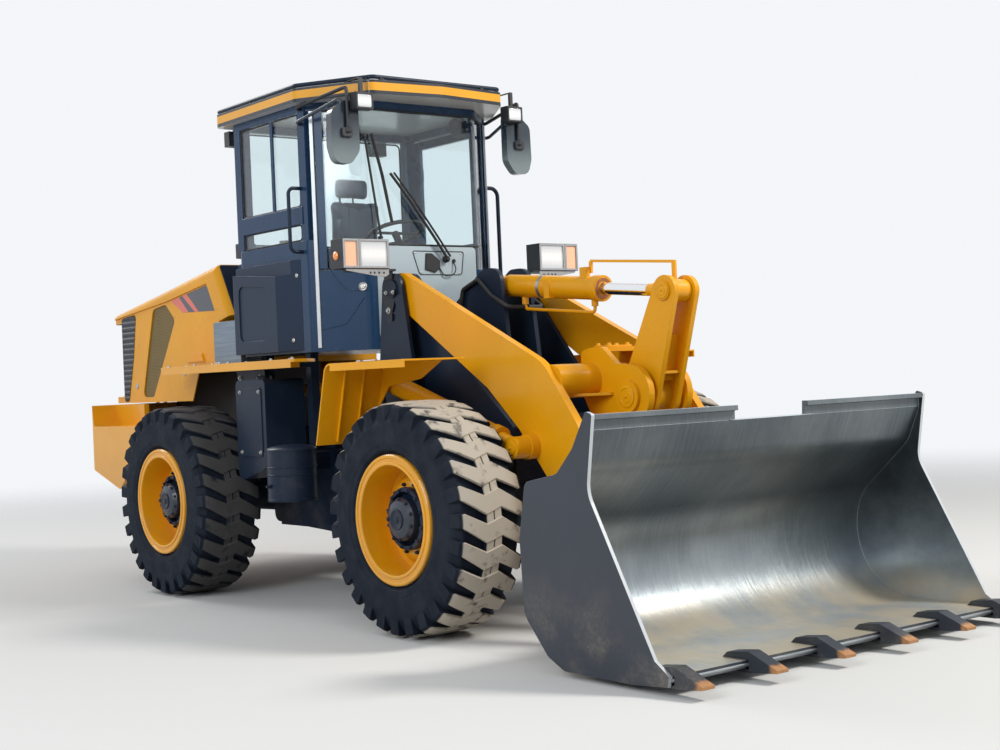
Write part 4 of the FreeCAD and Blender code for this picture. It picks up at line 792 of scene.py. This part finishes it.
def mesh_colour(place):
    # painted shade: the mesh's holes are near-black for the dark bay behind them, and the louvres'
    # gaps are darker than their slats
    olive = holes(place).mix((0.20, 0.125, 0.012), (0.012, 0.010, 0.006))
    slat_and_gap_shade = louvre(place).mix((0.006, 0.008, 0.013), (0.022, 0.030, 0.046))
    return side_mesh(place).mix(slat_and_gap_shade, olive)


mesh_paint = finish("perforated_sheet", mesh_colour, lambda p: p.noise(9) * 0.2 + 0.35,
                    bump=lambda p: side_mesh(p) * (1 - holes(p)) + (1 - side_mesh(p))
                    * louvre(p) * 4, bump_depth=0.002, edge=0)
dress(mesh_paint, "hood_grilles")
navy_film = finish("navy_film", lambda p: p.noise(3).mix((0.012, 0.017, 0.030),
                                                         (0.018, 0.025, 0.040)),
                   lambda p: p.noise(200, 2) * 0.1 + 0.2, edge=0, coat=0.6)
red_film = finish("red_film", lambda p: p.noise(3).mix((0.62, 0.085, 0.045), (0.72, 0.12, 0.06)),
                  lambda p: p.noise(200, 2) * 0.1 + 0.2, edge=0, coat=0.6)
panels, stripes = bmesh.new(), bmesh.new()
for side in (-1, 1):
    for shape, outlines in (
            (panels, ([(-1939, 2124), (-1496, 2185), (-1378, 1992), (-1792, 2004)],)),
            (stripes, ([(-2079, 2105), (-1940, 2124), (-1793, 2004), (-1882, 2006)],))):
        for outline in outlines:
            flat = [(spot(x, 0, 0).x * -side, z / 1000) for x, z in outline]
            plate(shape, flat, 0.0008, (0, side * 0.6762, 0), (-side, 0, 0))
    flat = [(spot(x, 0, 0).x * -side, z / 1000) for x, z in
            [(-1886, 2130.5), (-1812, 2140.5), (-1636, 2001), (-1698, 2002.5)]]
    plate(stripes, flat, 0.0014, (0, side * 0.6762, 0), (-side, 0, 0))
piece("hood_panel_film", panels, navy_film, "hood")
piece("hood_stripes", stripes, red_film, "hood")
corners = bmesh.new()
for side in (-1, 1):
    flat = rounded([(-2952, 1700, 0), (-2952, 2020, 30), (-2690, 2040, 30), (-2760, 1700, 60),
                    (-2870, 1360, 30), (-2952, 1360, 30), (-2952, 1700, 0)], 4)[:-1]
    flat = [(spot(x, 0, 0).x * -side, z / 1000) for x, z in flat]
    plate(corners, flat, 0.003, (0, side * 0.6762, 0), (-side, 0, 0), soft=0.001)
piece("hood_corner_panels", corners, mesh_paint, "hood")
grips, locks = bmesh.new(), bmesh.new()
for side in (-1, 1):
    scoop = [(-1840, 1628), (-1800, 1700), (-1600, 1700), (-1560, 1628)]
    flat = [(spot(x, 0, 0).x * -side, z / 1000) for x, z in scoop]
    plate(grips, flat, 0.012, (0, side * 0.6762, 0), (-side, 0, 0), soft=0.008)
    for x, z in ((-1900, 1560), (-2720, 1480)):
        turned(locks, [(0, 0.024), (0.003, 0.024), (0.005, 0.020), (0.004, 0.012), (0.004, 0)],
               24, spot(x, side * 676.2, z), (0, side, 0))
piece("hood_scoops", grips, hood_paint, "hood")
piece("hood_locks", locks, bolt_steel, "hood")
pipe_steel = finish("exhaust_steel", lambda p: p.noise(20, 5).mix((0.03, 0.03, 0.032),
                                                                  (0.10, 0.07, 0.05)),
                    lambda p: p.noise(30) * 0.3 + 0.4, 0.5)
dress(pipe_steel, "exhaust")


# Cab: welded steel shell in dark blue lacquer with moulded covers on its right wall, a panel below
# the windscreen painted pale as a painted reflection, rubber seals round the panes, and a bright
# strip on each front corner.
CAB_BLUE = (0.012, 0.042, 0.100)
cab_paint = finish("cab_lacquer", dusty(CAB_BLUE), lambda p: p.noise(4) * 0.15 + 0.2,
                   bump=orange_peel, bump_depth=0.0002, coat=0.1, sheen=0.25)
dress(cab_paint, "cab_shell", "cab_posts", "cab_door", "rear_duct")
def roof_colour(place):
    """A yellow band on the roof's sides, dark above it as painted shadow under the roof rail and dark
    below it as the seal; pale on the flat faces above and below.
    """
    flat = place.facing().part(2)
    band = (place.part(2) > 3.263) * (place.part(2) < 3.314)
    # above the band the dark colour is painted shadow under the roof rail; below it the same dark
    # colour is the seal
    band_seal_and_shadow = band.mix((0.010, 0.014, 0.022), dusty(YELLOW)(place))
    pale = place.noise(3).mix((0.50, 0.52, 0.52), (0.58, 0.60, 0.60))
    return (flat.size() > 0.6).mix(band_seal_and_shadow, pale)


roof_paint = finish("roof_lacquer", roof_colour, lambda p: p.noise(5) * 0.18 + 0.25,
                    bump=orange_peel, bump_depth=0.0002, coat=0.3)
dress(roof_paint, "cab_roof")


def box_mask(place):
    return (place.part(0) < -1.212) + 0.0


moulded = finish("moulded_cover", lambda p: box_mask(p).mix(
    dusty((0.013, 0.027, 0.056))(p),
    p.scaled((3, 3, 60)).noise(1, 4).mix((0.10, 0.14, 0.19), (0.30, 0.36, 0.42))),
    lambda p: p.noise(60) * 0.15 + 0.3, lambda p: box_mask(p) * 0.7,
    bump=lambda p: p.noise(700, 2), bump_depth=0.0003, sheen=0.25)
dress(moulded, "side_covers")


def swept(shape, points, radius, steps=10, bend=0.0, closed=False):
    """Adds a round bar along points, its corners turned with a bend."""
    points = [Vector(p) for p in points]
    count = len(points)
    line = []
    for i, here in enumerate(points):
        if (not closed and i in (0, count - 1)) or not bend:
            line.append(here)
            continue
        back, ahead = points[i - 1] - here, points[(i + 1) % count] - here
        start = here + back.normalized() * min(bend, back.length / 2)
        end = here + ahead.normalized() * min(bend, ahead.length / 2)
        for k in range(7):
            t = k / 6
            line.append(start * (1 - t) ** 2 + here * 2 * t * (1 - t) + end * t * t)
    rings = []
    side = None
    for i, here in enumerate(line):
        before = line[i - 1] if i or closed else here
        after = line[(i + 1) % len(line)] if i < len(line) - 1 or closed else here
        way = (after - before).normalized()
        if side is None:
            side = way.orthogonal()
        side = (side - way * side.dot(way)).normalized()
        other = way.cross(side)
        rings.append([shape.verts.new(here + (side * math.cos(math.tau * k / steps)
                                              + other * math.sin(math.tau * k / steps)) * radius)
                      for k in range(steps)])
    pairs = list(zip(rings, rings[1:] + rings[:1]))
    for a, b in pairs if closed else pairs[:-1]:
        for k in range(steps):
            shape.faces.new((a[k], a[(k + 1) % steps], b[(k + 1) % steps], b[k]))
    if not closed:
        shape.faces.new(rings[0])
        shape.faces.new(rings[-1])
    return shape


def frame_line(x0, x1, y, z0, z1):
    return [spot(x0, y, z0), spot(x1, y, z0), spot(x1, y, z1), spot(x0, y, z1)]


seals = bmesh.new()
for z0, z1 in ((2588, 3182), (2368, 2467)):
    swept(seals, frame_line(-808, -58, -727, z0, z1), 0.006, 8, 0.03, True)
rear = [spot(-884, y, z) for y, z in ((-640, 2412), (640, 2412), (640, 3180), (-640, 3180))]
swept(seals, rear, 0.006, 8, 0.04, True)
screen_foot = [spot(72, -690, 2166), spot(288, -466, 2166), spot(301, -430, 2314),
               spot(301, 430, 2314), spot(288, 466, 2166), spot(72, 690, 2166)]
swept(seals, screen_foot[2:4], 0.007, 8)
swept(seals, [spot(78, -676, 2166), spot(78, -676, 3184), spot(290, -448, 3184),
              spot(300, -420, 3184), spot(300, 420, 3184), spot(290, 448, 3184),
              spot(78, 676, 3184), spot(78, 676, 2166)], 0.007, 8, 0.03)
piece("window_seals", seals, black_rubber, "rear_frame")
trims = bmesh.new()
plate(trims, [(-0.017, 2.586), (0.017, 2.586), (0.017, 3.186), (-0.017, 3.186)], 0.010,
      spot(-392, -725.4, 0), soft=0.002)
plate(trims, [(-0.40, 2.470), (0.395, 2.470), (0.395, 2.584), (-0.40, 2.584)], 0.005,
      spot(-420, -735.4, 0), soft=0.002)
facet = Vector((0.29, 0.28, 0)).normalized() * 1000
for side in (-1, 1):
    foot = Vector((20, side * 740, 0))
    along = Vector((facet.x, -side * facet.y, 0)) / 1000
    for start, wide in ((0.078, 0.050),):
        at = foot + along * start * 1000
        rows = [(0, 2.17), (wide, 2.17), (wide, 3.186), (0, 3.186)]
        out = 0.004 if side < 0 else -0.004
        plate(trims, rows, out, spot(at.x, at.y, 0), along, soft=0)
piece("window_trims", trims, cab_paint, "rear_frame")
bright = finish("bright_strip", lambda p: p.noise(8).mix((0.42, 0.45, 0.47), (0.55, 0.57, 0.58)),
                lambda p: p.noise(60) * 0.1 + 0.25, 0.3, edge=0.001)
strips = bmesh.new()
for side in (-1, 1):
    along = Vector((facet.x, -side * facet.y, 0)) / 1000
    at = Vector((20, side * 740, 0)) + along * 46
    plate(strips, [(0, 1.665), (0.022, 1.665), (0.022, 3.185), (0, 3.185)],
          0.010 if side < 0 else -0.010, spot(at.x, at.y, 0), along)
piece("corner_strips", strips, bright, "rear_frame")


# Screen cowl: a panel in front of the windscreen's foot whose pale colour, lighter towards its top,
# is a painted reflection of the bright surroundings, with the hatch over the wiper motor held by four
# screws; the wiper has twin arms and a long rubber blade.
# painted reflection: the cowl is coloured pale grey-blue, lighter towards its top, for the bright
# surroundings it mirrors
painted_reflection_paint = finish("pale_painted_reflection", lambda p: (p.part(2) + p.noise(2) * 0.3).ramp(1.6, 2.5).mix(
    (0.16, 0.21, 0.25), (0.42, 0.50, 0.54)), lambda p: p.noise(4) * 0.1 + 0.15,
    bump=orange_peel, bump_depth=0.0001, coat=0.6)
cowl = plate(bmesh.new(), panel(0.80, 0.60, 0.03, -0.40, 1.708), 0.005, spot(300.3, 0, 0),
             (0, 1, 0), soft=0.002)
piece("screen_cowl", cowl, painted_reflection_paint, "rear_frame")
hatch = [spot(307, y, z) for y, z in ((-121, 2276), (296, 2276), (274, 2122), (-70, 2122))]
lines = swept(bmesh.new(), hatch, 0.0028, 8, 0.02, True)
swept(lines, [spot(309, 205, 2210), spot(330, 215, 2160), spot(330, 190, 2118),
              spot(318, 120, 2110), spot(309, 90, 2170)], 0.004, 8, 0.03)
turned(lines, [(0, 0.013), (0.006, 0.013), (0.006, 0.007), (0.012, 0.006), (0.012, 0)], 20,
       spot(305.4, 212, 2214), (1, 0, 0))
plate(lines, [(-0.045, 2.155), (0.035, 2.135), (0.075, 2.165), (0.075, 2.215), (0.01, 2.262),
              (-0.035, 2.262)], 0.010, spot(305.4, 20, 0), (0, 1, 0), soft=0.002)
piece("hatch_lines", lines, black_rubber, "rear_frame")
screws = bmesh.new()
for y, z in ((-100, 2262), (272, 2262), (256, 2136), (-54, 2136)):
    turned(screws, [(0, 0.006), (0.002, 0.006), (0.003, 0.003), (0.003, 0)], 14,
           spot(305.5, y, z), (1, 0, 0))
piece("hatch_screws", screws, bolt_steel, "rear_frame")
wiper = bmesh.new()
PIVOT = spot(318, 141, 2224)
turned(wiper, [(-0.012, 0.022), (0.014, 0.022), (0.018, 0.016), (0.030, 0.012), (0.030, 0)], 24,
       PIVOT, (1, 0, 0))
swept(wiper, [PIVOT + Vector((0.02, 0, 0)), spot(338, 50, 2350), spot(335, -140, 2600),
              spot(330, -285, 2772)], 0.0095, 10, 0.03)
swept(wiper, [PIVOT + Vector((0.02, 0.022, 0.018)), spot(338, 72, 2364), spot(335, -118, 2614),
              spot(330, -256, 2778)], 0.0070, 10, 0.03)
swept(wiper, [spot(322, -413, 3022), spot(324, -345, 2760), spot(322, -282, 2455)], 0.0105, 8)
swept(wiper, [spot(330, -375, 2880), spot(334, -345, 2765), spot(330, -310, 2610)], 0.004, 6)
swept(wiper, [spot(322, -467, 3006), spot(322, -372, 2357)], 0.008, 8)
for y, z in ((-467, 3006), (-372, 2357)):
    turned(wiper, [(-0.022, 0.011), (0.008, 0.011), (0.008, 0)], 14, spot(322, y, z), (1, 0, 0))
piece("screen_wiper", wiper, black_rubber, "rear_frame")
plugs = bmesh.new()
for side in (-1, 1):
    out = Vector((0.28, side * 0.29, 0)).normalized()
    turned(plugs, [(0, 0.028), (0.004, 0.028), (0.007, 0.024), (0.005, 0.018), (0.010, 0.014),
                   (0.011, 0)], 28, spot(262, side * 487, 2045) + out * 0.002, out)
    if side < 0:
        for x, z in ((-110, 2143), (-160, 1725)):
            out2 = Vector((0.267, -0.964, 0)).normalized()
            at = Vector((-300, -803.4, z)) + Vector((228, 63, 0)) * ((x + 300) / 228)
            turned(plugs, [(0, 0.013), (0.003, 0.013), (0.005, 0.009), (0.005, 0)], 18,
                   spot(*at), out2)
piece("cab_plugs", plugs, bolt_steel, "rear_frame")
creases = bmesh.new()
for side in (-1, 1):
    out = Vector((0.28, side * 0.29, 0)).normalized() * 0.4
    line = [(65, 695, 2190), (110, 648, 2180), (150, 606, 2100), (190, 565, 2030),
            (285, 467, 2024)]
    swept(creases, [spot(x + 0.7, side * (y - 0.2), z) + out * 0.001 for x, y, z in line],
          0.003, 6, 0.03)
    swept(creases, [spot(x + 0.7, side * (y - 0.2), z) for x, y, z in
                    ((270, 482, 1980), (180, 575, 1808), (60, 699, 1780))], 0.003, 6, 0.03)
piece("facet_creases", creases, cab_paint, "rear_frame")
clips = bmesh.new()
for x, y in ((455, -523), (497, -440), (497, 357), (-560, -774), (-100, -779)):
    plate(clips, panel(0.03, 0.022, 0.005, -0.015, -0.011), 0.012, spot(x, y, 3344), (0, 1, 0),
          (1, 0, 0))
fan = spot(215, 357, 3120)
for radius in (0.022, 0.045, 0.068):
    ringed(clips, [(-0.004, radius - 0.003), (0.004, radius - 0.003), (0.004, radius + 0.003),
                   (-0.004, radius + 0.003)], 28, fan, (1, 0, 0.2))
turned(clips, [(-0.03, 0), (-0.03, 0.05), (-0.006, 0.066), (0, 0.066), (0, 0)], 28, fan,
       (1, 0, 0.2))
swept(clips, [fan + Vector((-0.02, 0, 0.05)), fan + Vector((-0.03, 0, 0.068))], 0.008, 8)
piece("roof_clips_and_fan", clips, black_rubber, "rear_frame")


# Cab glass: tinted panes, bent round the front corners, clear enough to show the seat.
glass = finish("tinted_glass", lambda p: p.noise(1).mix((0.80, 0.90, 0.92), (0.88, 0.95, 0.95)),
               0.02, transmission=1, ior=1.01, edge=0, coat=1,
               bump=lambda p: p.noise(2, 1), bump_depth=0.0001)
dress(glass, "cab_glass", "door_glass")


# Lamps: black housings with grey bezels, ribbed main lenses with a painted highlight across their
# middles and amber turn lenses outside, a round side marker, and a stay under each whose holes are
# dark discs of painted shade; square work lamps under the roof, their lenses with the same painted
# highlight.
plastic = finish("moulded_plastic", dusty((0.018, 0.020, 0.024)),
                 lambda p: p.noise(80) * 0.2 + 0.35, bump=lambda p: p.noise(900, 2),
                 bump_depth=0.0003)
dress(plastic, "headlamps", "work_lamps")
mirror_shell = finish("mirror_shell", lambda p: (p.part(2) + p.noise(4) * 0.06).ramp(3.10, 2.83).mix(
    (0.015, 0.026, 0.042), (0.16, 0.20, 0.21)), lambda p: p.noise(80) * 0.1 + 0.18,
    bump=lambda p: p.noise(900, 2), bump_depth=0.0001, coat=0.7)
dress(mirror_shell, "mirrors")


def amber(place):
    return place.part(1).size() > 0.8175


def flutes(place):
    return place.part(1).cell(0.012) + place.part(2).cell(0.03) * 0.5


# painted highlight: the clear lens is near-white at the middle of its height, fading to grey above
# and below, for the reflector behind it; it also glows faintly
lamp_lens = finish("ribbed_lens", lambda p: amber(p).mix(
    p.far((0, 0.7125, 2.21), (0, 0, 1)).ramp(0, 0.08).mix((0.95, 0.95, 0.93), (0.62, 0.64, 0.66)),
    (0.90, 0.50, 0.30)), 0.12, lambda p: (1 - amber(p)) * 0.5, bump=flutes, bump_depth=0.002,
    coat=1, glow=((1, 0.95, 0.9), 0.04))
dress(lamp_lens, "lamp_glass")
bezel_grey = finish("bezel_grey", lambda p: p.noise(30).mix((0.28, 0.29, 0.30),
                                                            (0.40, 0.41, 0.42)), 0.4, 0.4)
bezels, markers, stays, stay_holes = bmesh.new(), bmesh.new(), bmesh.new(), bmesh.new()


def square_ring(shape, u0, u1, v0, v1, wide, depth, place, across, up=(0, 0, 1)):
    for outline in (
            [(u0, v0), (u1, v0), (u1 - wide, v0 + wide), (u0 + wide, v0 + wide)],
            [(u1, v0), (u1, v1), (u1 - wide, v1 - wide), (u1 - wide, v0 + wide)],
            [(u1, v1), (u0, v1), (u0 + wide, v1 - wide), (u1 - wide, v1 - wide)],
            [(u0, v1), (u0, v0), (u0 + wide, v0 + wide), (u0 + wide, v1 - wide)]):
        plate(shape, outline, depth, place, across, up)


for side in (-1, 1):
    for u0, u1 in ((0.600, 0.8165), (0.8185, 0.930)):
        low, high = sorted((side * u0, side * u1))
        square_ring(bezels, low, high, 2.122, 2.298, 0.013, 0.004, spot(735.3, 0, 0), (0, 1, 0))
    turned(markers, [(0, 0.026), (0.004, 0.026), (0.010, 0.020), (0.014, 0.010), (0.015, 0)], 28,
           spot(655, side * 930.3, 2200), (0, side, 0))
    line = [(0.600, 2.118), (0.911, 2.118), (0.905, 2.106), (0.700, 2.076), (0.628, 2.070),
            (0.600, 2.085)]
    plate(stays, [(side * u, v) for u, v in line], 0.004, spot(725.4, 0, 0), (0, 1, 0))
    # painted shade: the stay's holes are flat dark discs
    for y in (735, 706, 673, 638):
        turned(stay_holes, [(0, 0.007), (0.0008, 0.007), (0.0008, 0)], 16,
               spot(729.5, side * y, 2095), (1, 0, 0))
piece("lamp_bezels", bezels, bezel_grey, "front_frame")
amber_lens = finish("amber_lens", lambda p: p.noise(60).mix((0.85, 0.25, 0.04),
                                                            (0.95, 0.35, 0.08)), 0.15, coat=1)
piece("side_markers", markers, amber_lens, "front_frame")
piece("lamp_stays", stays, bezel_grey, "front_frame")
piece("stay_holes", stay_holes, recess, "front_frame")
# painted highlight: the clear lens is near-white at the middle of its height, fading to grey above
# and below, for the reflector behind it; it also glows faintly
work_lens = finish("work_lens", lambda p: p.far((0, 0.6, 3.1825), (0, 0, 1)).ramp(0, 0.05).mix(
    (0.95, 0.95, 0.93), (0.55, 0.57, 0.60)), 0.1, 0.5, bump=flutes, bump_depth=0.002, coat=1,
    glow=((1, 0.97, 0.92), 0.05))
panes, rims = bmesh.new(), bmesh.new()
for y in (-600, 600):
    for x, way in ((540.3, 1), (-1160.3, -1)):
        plate(panes, panel(0.104, 0.08, 0.012, -0.052, -0.04), 0.003, spot(x, y, 3182),
              (0, way, 0), soft=0.001)
        square_ring(rims, -0.062, 0.062, -0.050, 0.050, 0.010, 0.006, spot(x, y, 3182),
                    (0, way, 0))
for y in (-640, 640):
    plate(panes, panel(0.10, 0.08, 0.012, -0.05, -0.04), 0.003, spot(-1000.3, y, 2380),
          (0, -1, 0), soft=0.001)
piece("work_lenses", panes, work_lens, "rear_frame")
piece("work_lamp_rims", rims, plastic, "rear_frame")
arms = bmesh.new()
for side in (-1, 1):
    path = [(-10, 735, 3205), (-2, 772, 3212), (300, 722, 3250), (452, 686, 3275), (469, 683, 3262),
            (469, 683, 3000)]
    swept(arms, [spot(x, side * y, z) for x, y, z in path], 0.012, 12, 0.05)
    flat = panel(0.075, 0.06, 0.012, -0.0375, -0.03)
    plate(arms, flat, 0.018, spot(455.3, side * 690, 2990), (0, 1, 0), soft=0.004)
    turned(arms, [(0, 0.021), (0.03, 0.021), (0.034, 0.016), (0.034, 0)], 20,
           spot(469, side * 683, 2992), (0, 0, 1))
piece("mirror_arms", arms, plastic, "rear_frame")
mirror_face = finish("mirror_glass", lambda p: p.noise(3).mix((0.80, 0.82, 0.84),
                                                              (0.88, 0.89, 0.90)), 0.03, 1.0,
                     edge=0)
faces = bmesh.new()
for side in (-1, 1):
    outline = rounded([(0.60, 3.02, 0), (0.60, 2.885, 0.08), (0.665, 2.805, 0.05),
                       (0.765, 2.81, 0.05), (0.79, 2.90, 0.07), (0.787, 3.115, 0.05),
                       (0.70, 3.186, 0.07), (0.60, 3.178, 0.025), (0.60, 3.02, 0)], 5)[:-1]
    plate(faces, [(-side * u, v) for u, v in outline], 0.002, spot(394.7, 0, 0), (0, -1, 0))
piece("mirror_faces", faces, mirror_face, "rear_frame")


# Seat: foam cushion, backrest and headrest in dark blue woven vinyl, sewn in channels and blown
# up by their filling, on a rubber bellows plinth; they replace the CAD's seat. The console's
# column, wheel and side box are moulded plastic.
def stitched(place):
    weave = place.part(1).cell(0.003) + place.part(2).cell(0.003) + place.part(0).cell(0.003)
    return weave * 0.3 + place.noise(9, 6, 0.7) * 1.4


seat_cloth = finish("seat_cloth", lambda p: p.noise(6, 5).ramp(0.35, 0.65).mix(
    (0.010, 0.020, 0.048), (0.030, 0.055, 0.105)), lambda p: p.noise(14, 4) * 0.4 + 0.25,
    bump=stitched, bump_depth=0.0022, coat=0.6, edge=0)


def block(rows, height_of):
    """A closed form from rows of (u, v) outlines at steps along z."""
    shape = bmesh.new()
    rings = [[shape.verts.new((u, v, z)) for u, v in outline] for outline, z in rows]
    for a, b in zip(rings, rings[1:]):
        for i in range(len(a)):
            j = (i + 1) % len(a)
            shape.faces.new((a[i], a[j], b[j], b[i]))
    shape.faces.new(rings[0])
    shape.faces.new(rings[-1])
    return shape


def pad_rows(width, depth, height, soft, waist=0.0):
    """Rows of a pad: its outline pulls in at its rims and between its corners."""
    rows = []
    for k in range(9):
        t = k / 8
        pull = soft * (1 - math.sin(math.pi * (0.12 + 0.76 * t)))
        outline = []
        for u, v in panel(width - 2 * pull, height - 2 * pull, soft, -width / 2 + pull,
                          -height / 2 + pull):
            outline.append((u * (1 - waist * math.cos(math.pi * v / height)), v))
        rows.append((outline, depth * t))
    return rows


def blown(name, rows, place, low, channels, cap=0.026):
    """A pad that swells in a short cloth simulation, its sewn channels pulled in after."""
    pad = piece(name, block(rows, None), seat_cloth, "rear_frame", place, sharp=80)
    scene = bpy.context.scene
    even = pad.modifiers.new("even", "REMESH")
    even.mode = "VOXEL"
    even.voxel_size = 0.009
    view = bpy.context.evaluated_depsgraph_get()
    before = bpy.data.meshes.new_from_object(pad.evaluated_get(view))
    pad.modifiers.remove(even)
    after = before.copy()
    trial = bpy.data.objects.new(name + "_trial", before)
    bpy.context.collection.objects.link(trial)
    cloth = trial.modifiers.new("cloth", "CLOTH")
    cloth.settings.use_pressure = True
    cloth.settings.uniform_pressure_force = 4
    cloth.settings.effector_weights.gravity = 0
    cloth.settings.quality = 4
    cloth.point_cache.frame_start = 1
    cloth.point_cache.frame_end = 20
    for step in range(1, 21):
        scene.frame_set(step)
    view = bpy.context.evaluated_depsgraph_get()
    after = bpy.data.meshes.new_from_object(trial.evaluated_get(view))
    bpy.data.objects.remove(trial)
    scene.frame_set(1)
    for start, vert in zip(before.vertices, after.vertices):
        move = vert.co - start.co
        if move.length > cap:
            vert.co = start.co + move.normalized() * cap
        inward = 0.0
        for y in channels:
            inward += 0.009 * math.exp(-((vert.co.y - y) / 0.008) ** 2)
        vert.co -= vert.normal * inward
        vert.co.z = max(vert.co.z, low)
    for face in after.polygons:
        face.use_smooth = True
    after.materials.clear()
    after.materials.append(seat_cloth)
    pad.data = after
    pad.modifiers.new("fine", "SUBSURF").levels = 1
    return pad


SEAT_X = spot(-455, 0, 0).x
cushion = blown("seat_cushion", pad_rows(0.44, 0.085, 0.44, 0.04),
                Matrix.Translation((SEAT_X, 0, 2.098)), 2.085, (-0.10, 0.10))
lean = Matrix.Rotation(math.radians(-90 + 3.2), 4, "Y") @ Matrix.Rotation(math.pi, 4, "X")
backrest = blown("seat_backrest", pad_rows(0.50, 0.075, 0.42, 0.04),
                 Matrix.Translation(spot(-590, 0, 2470)) @ lean, 2.19, (-0.095, 0.095))
headrest = blown("seat_headrest", pad_rows(0.135, 0.065, 0.26, 0.03),
                 Matrix.Translation(spot(-610, 0, 2792)) @ lean, 2.4, ())
base = bmesh.new()
rows = []
for k in range(11):
    out = 0.0 if k % 2 else 0.022
    rows.append((panel(0.30 + 2 * out, 0.36 + 2 * out, 0.04, SEAT_X - 0.15 - out, -0.18 - out),
                 1.75 + 0.0305 * k))
plinth = block(rows, None)
piece("seat_bellows", plinth, black_rubber, "rear_frame")
metal = bmesh.new()
plate(metal, panel(0.42, 0.42, 0.04, SEAT_X - 0.21, -0.21), 0.022, (0, 0, 2.0575), (1, 0, 0),
      (0, 1, 0), 0.006)
for y in (-0.055, 0.055):
    swept(metal, [spot(-640, y * 1000, 2600), spot(-648, y * 1000, 2790)], 0.007, 10)
swept(metal, [spot(-660, 0, 2075), spot(-668, 0, 2240), spot(-672, 0, 2420)], 0.022, 12, 0.03)
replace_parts(piece("seat_frame", metal, plastic, "rear_frame"), "seat")
dress(plastic, "console")
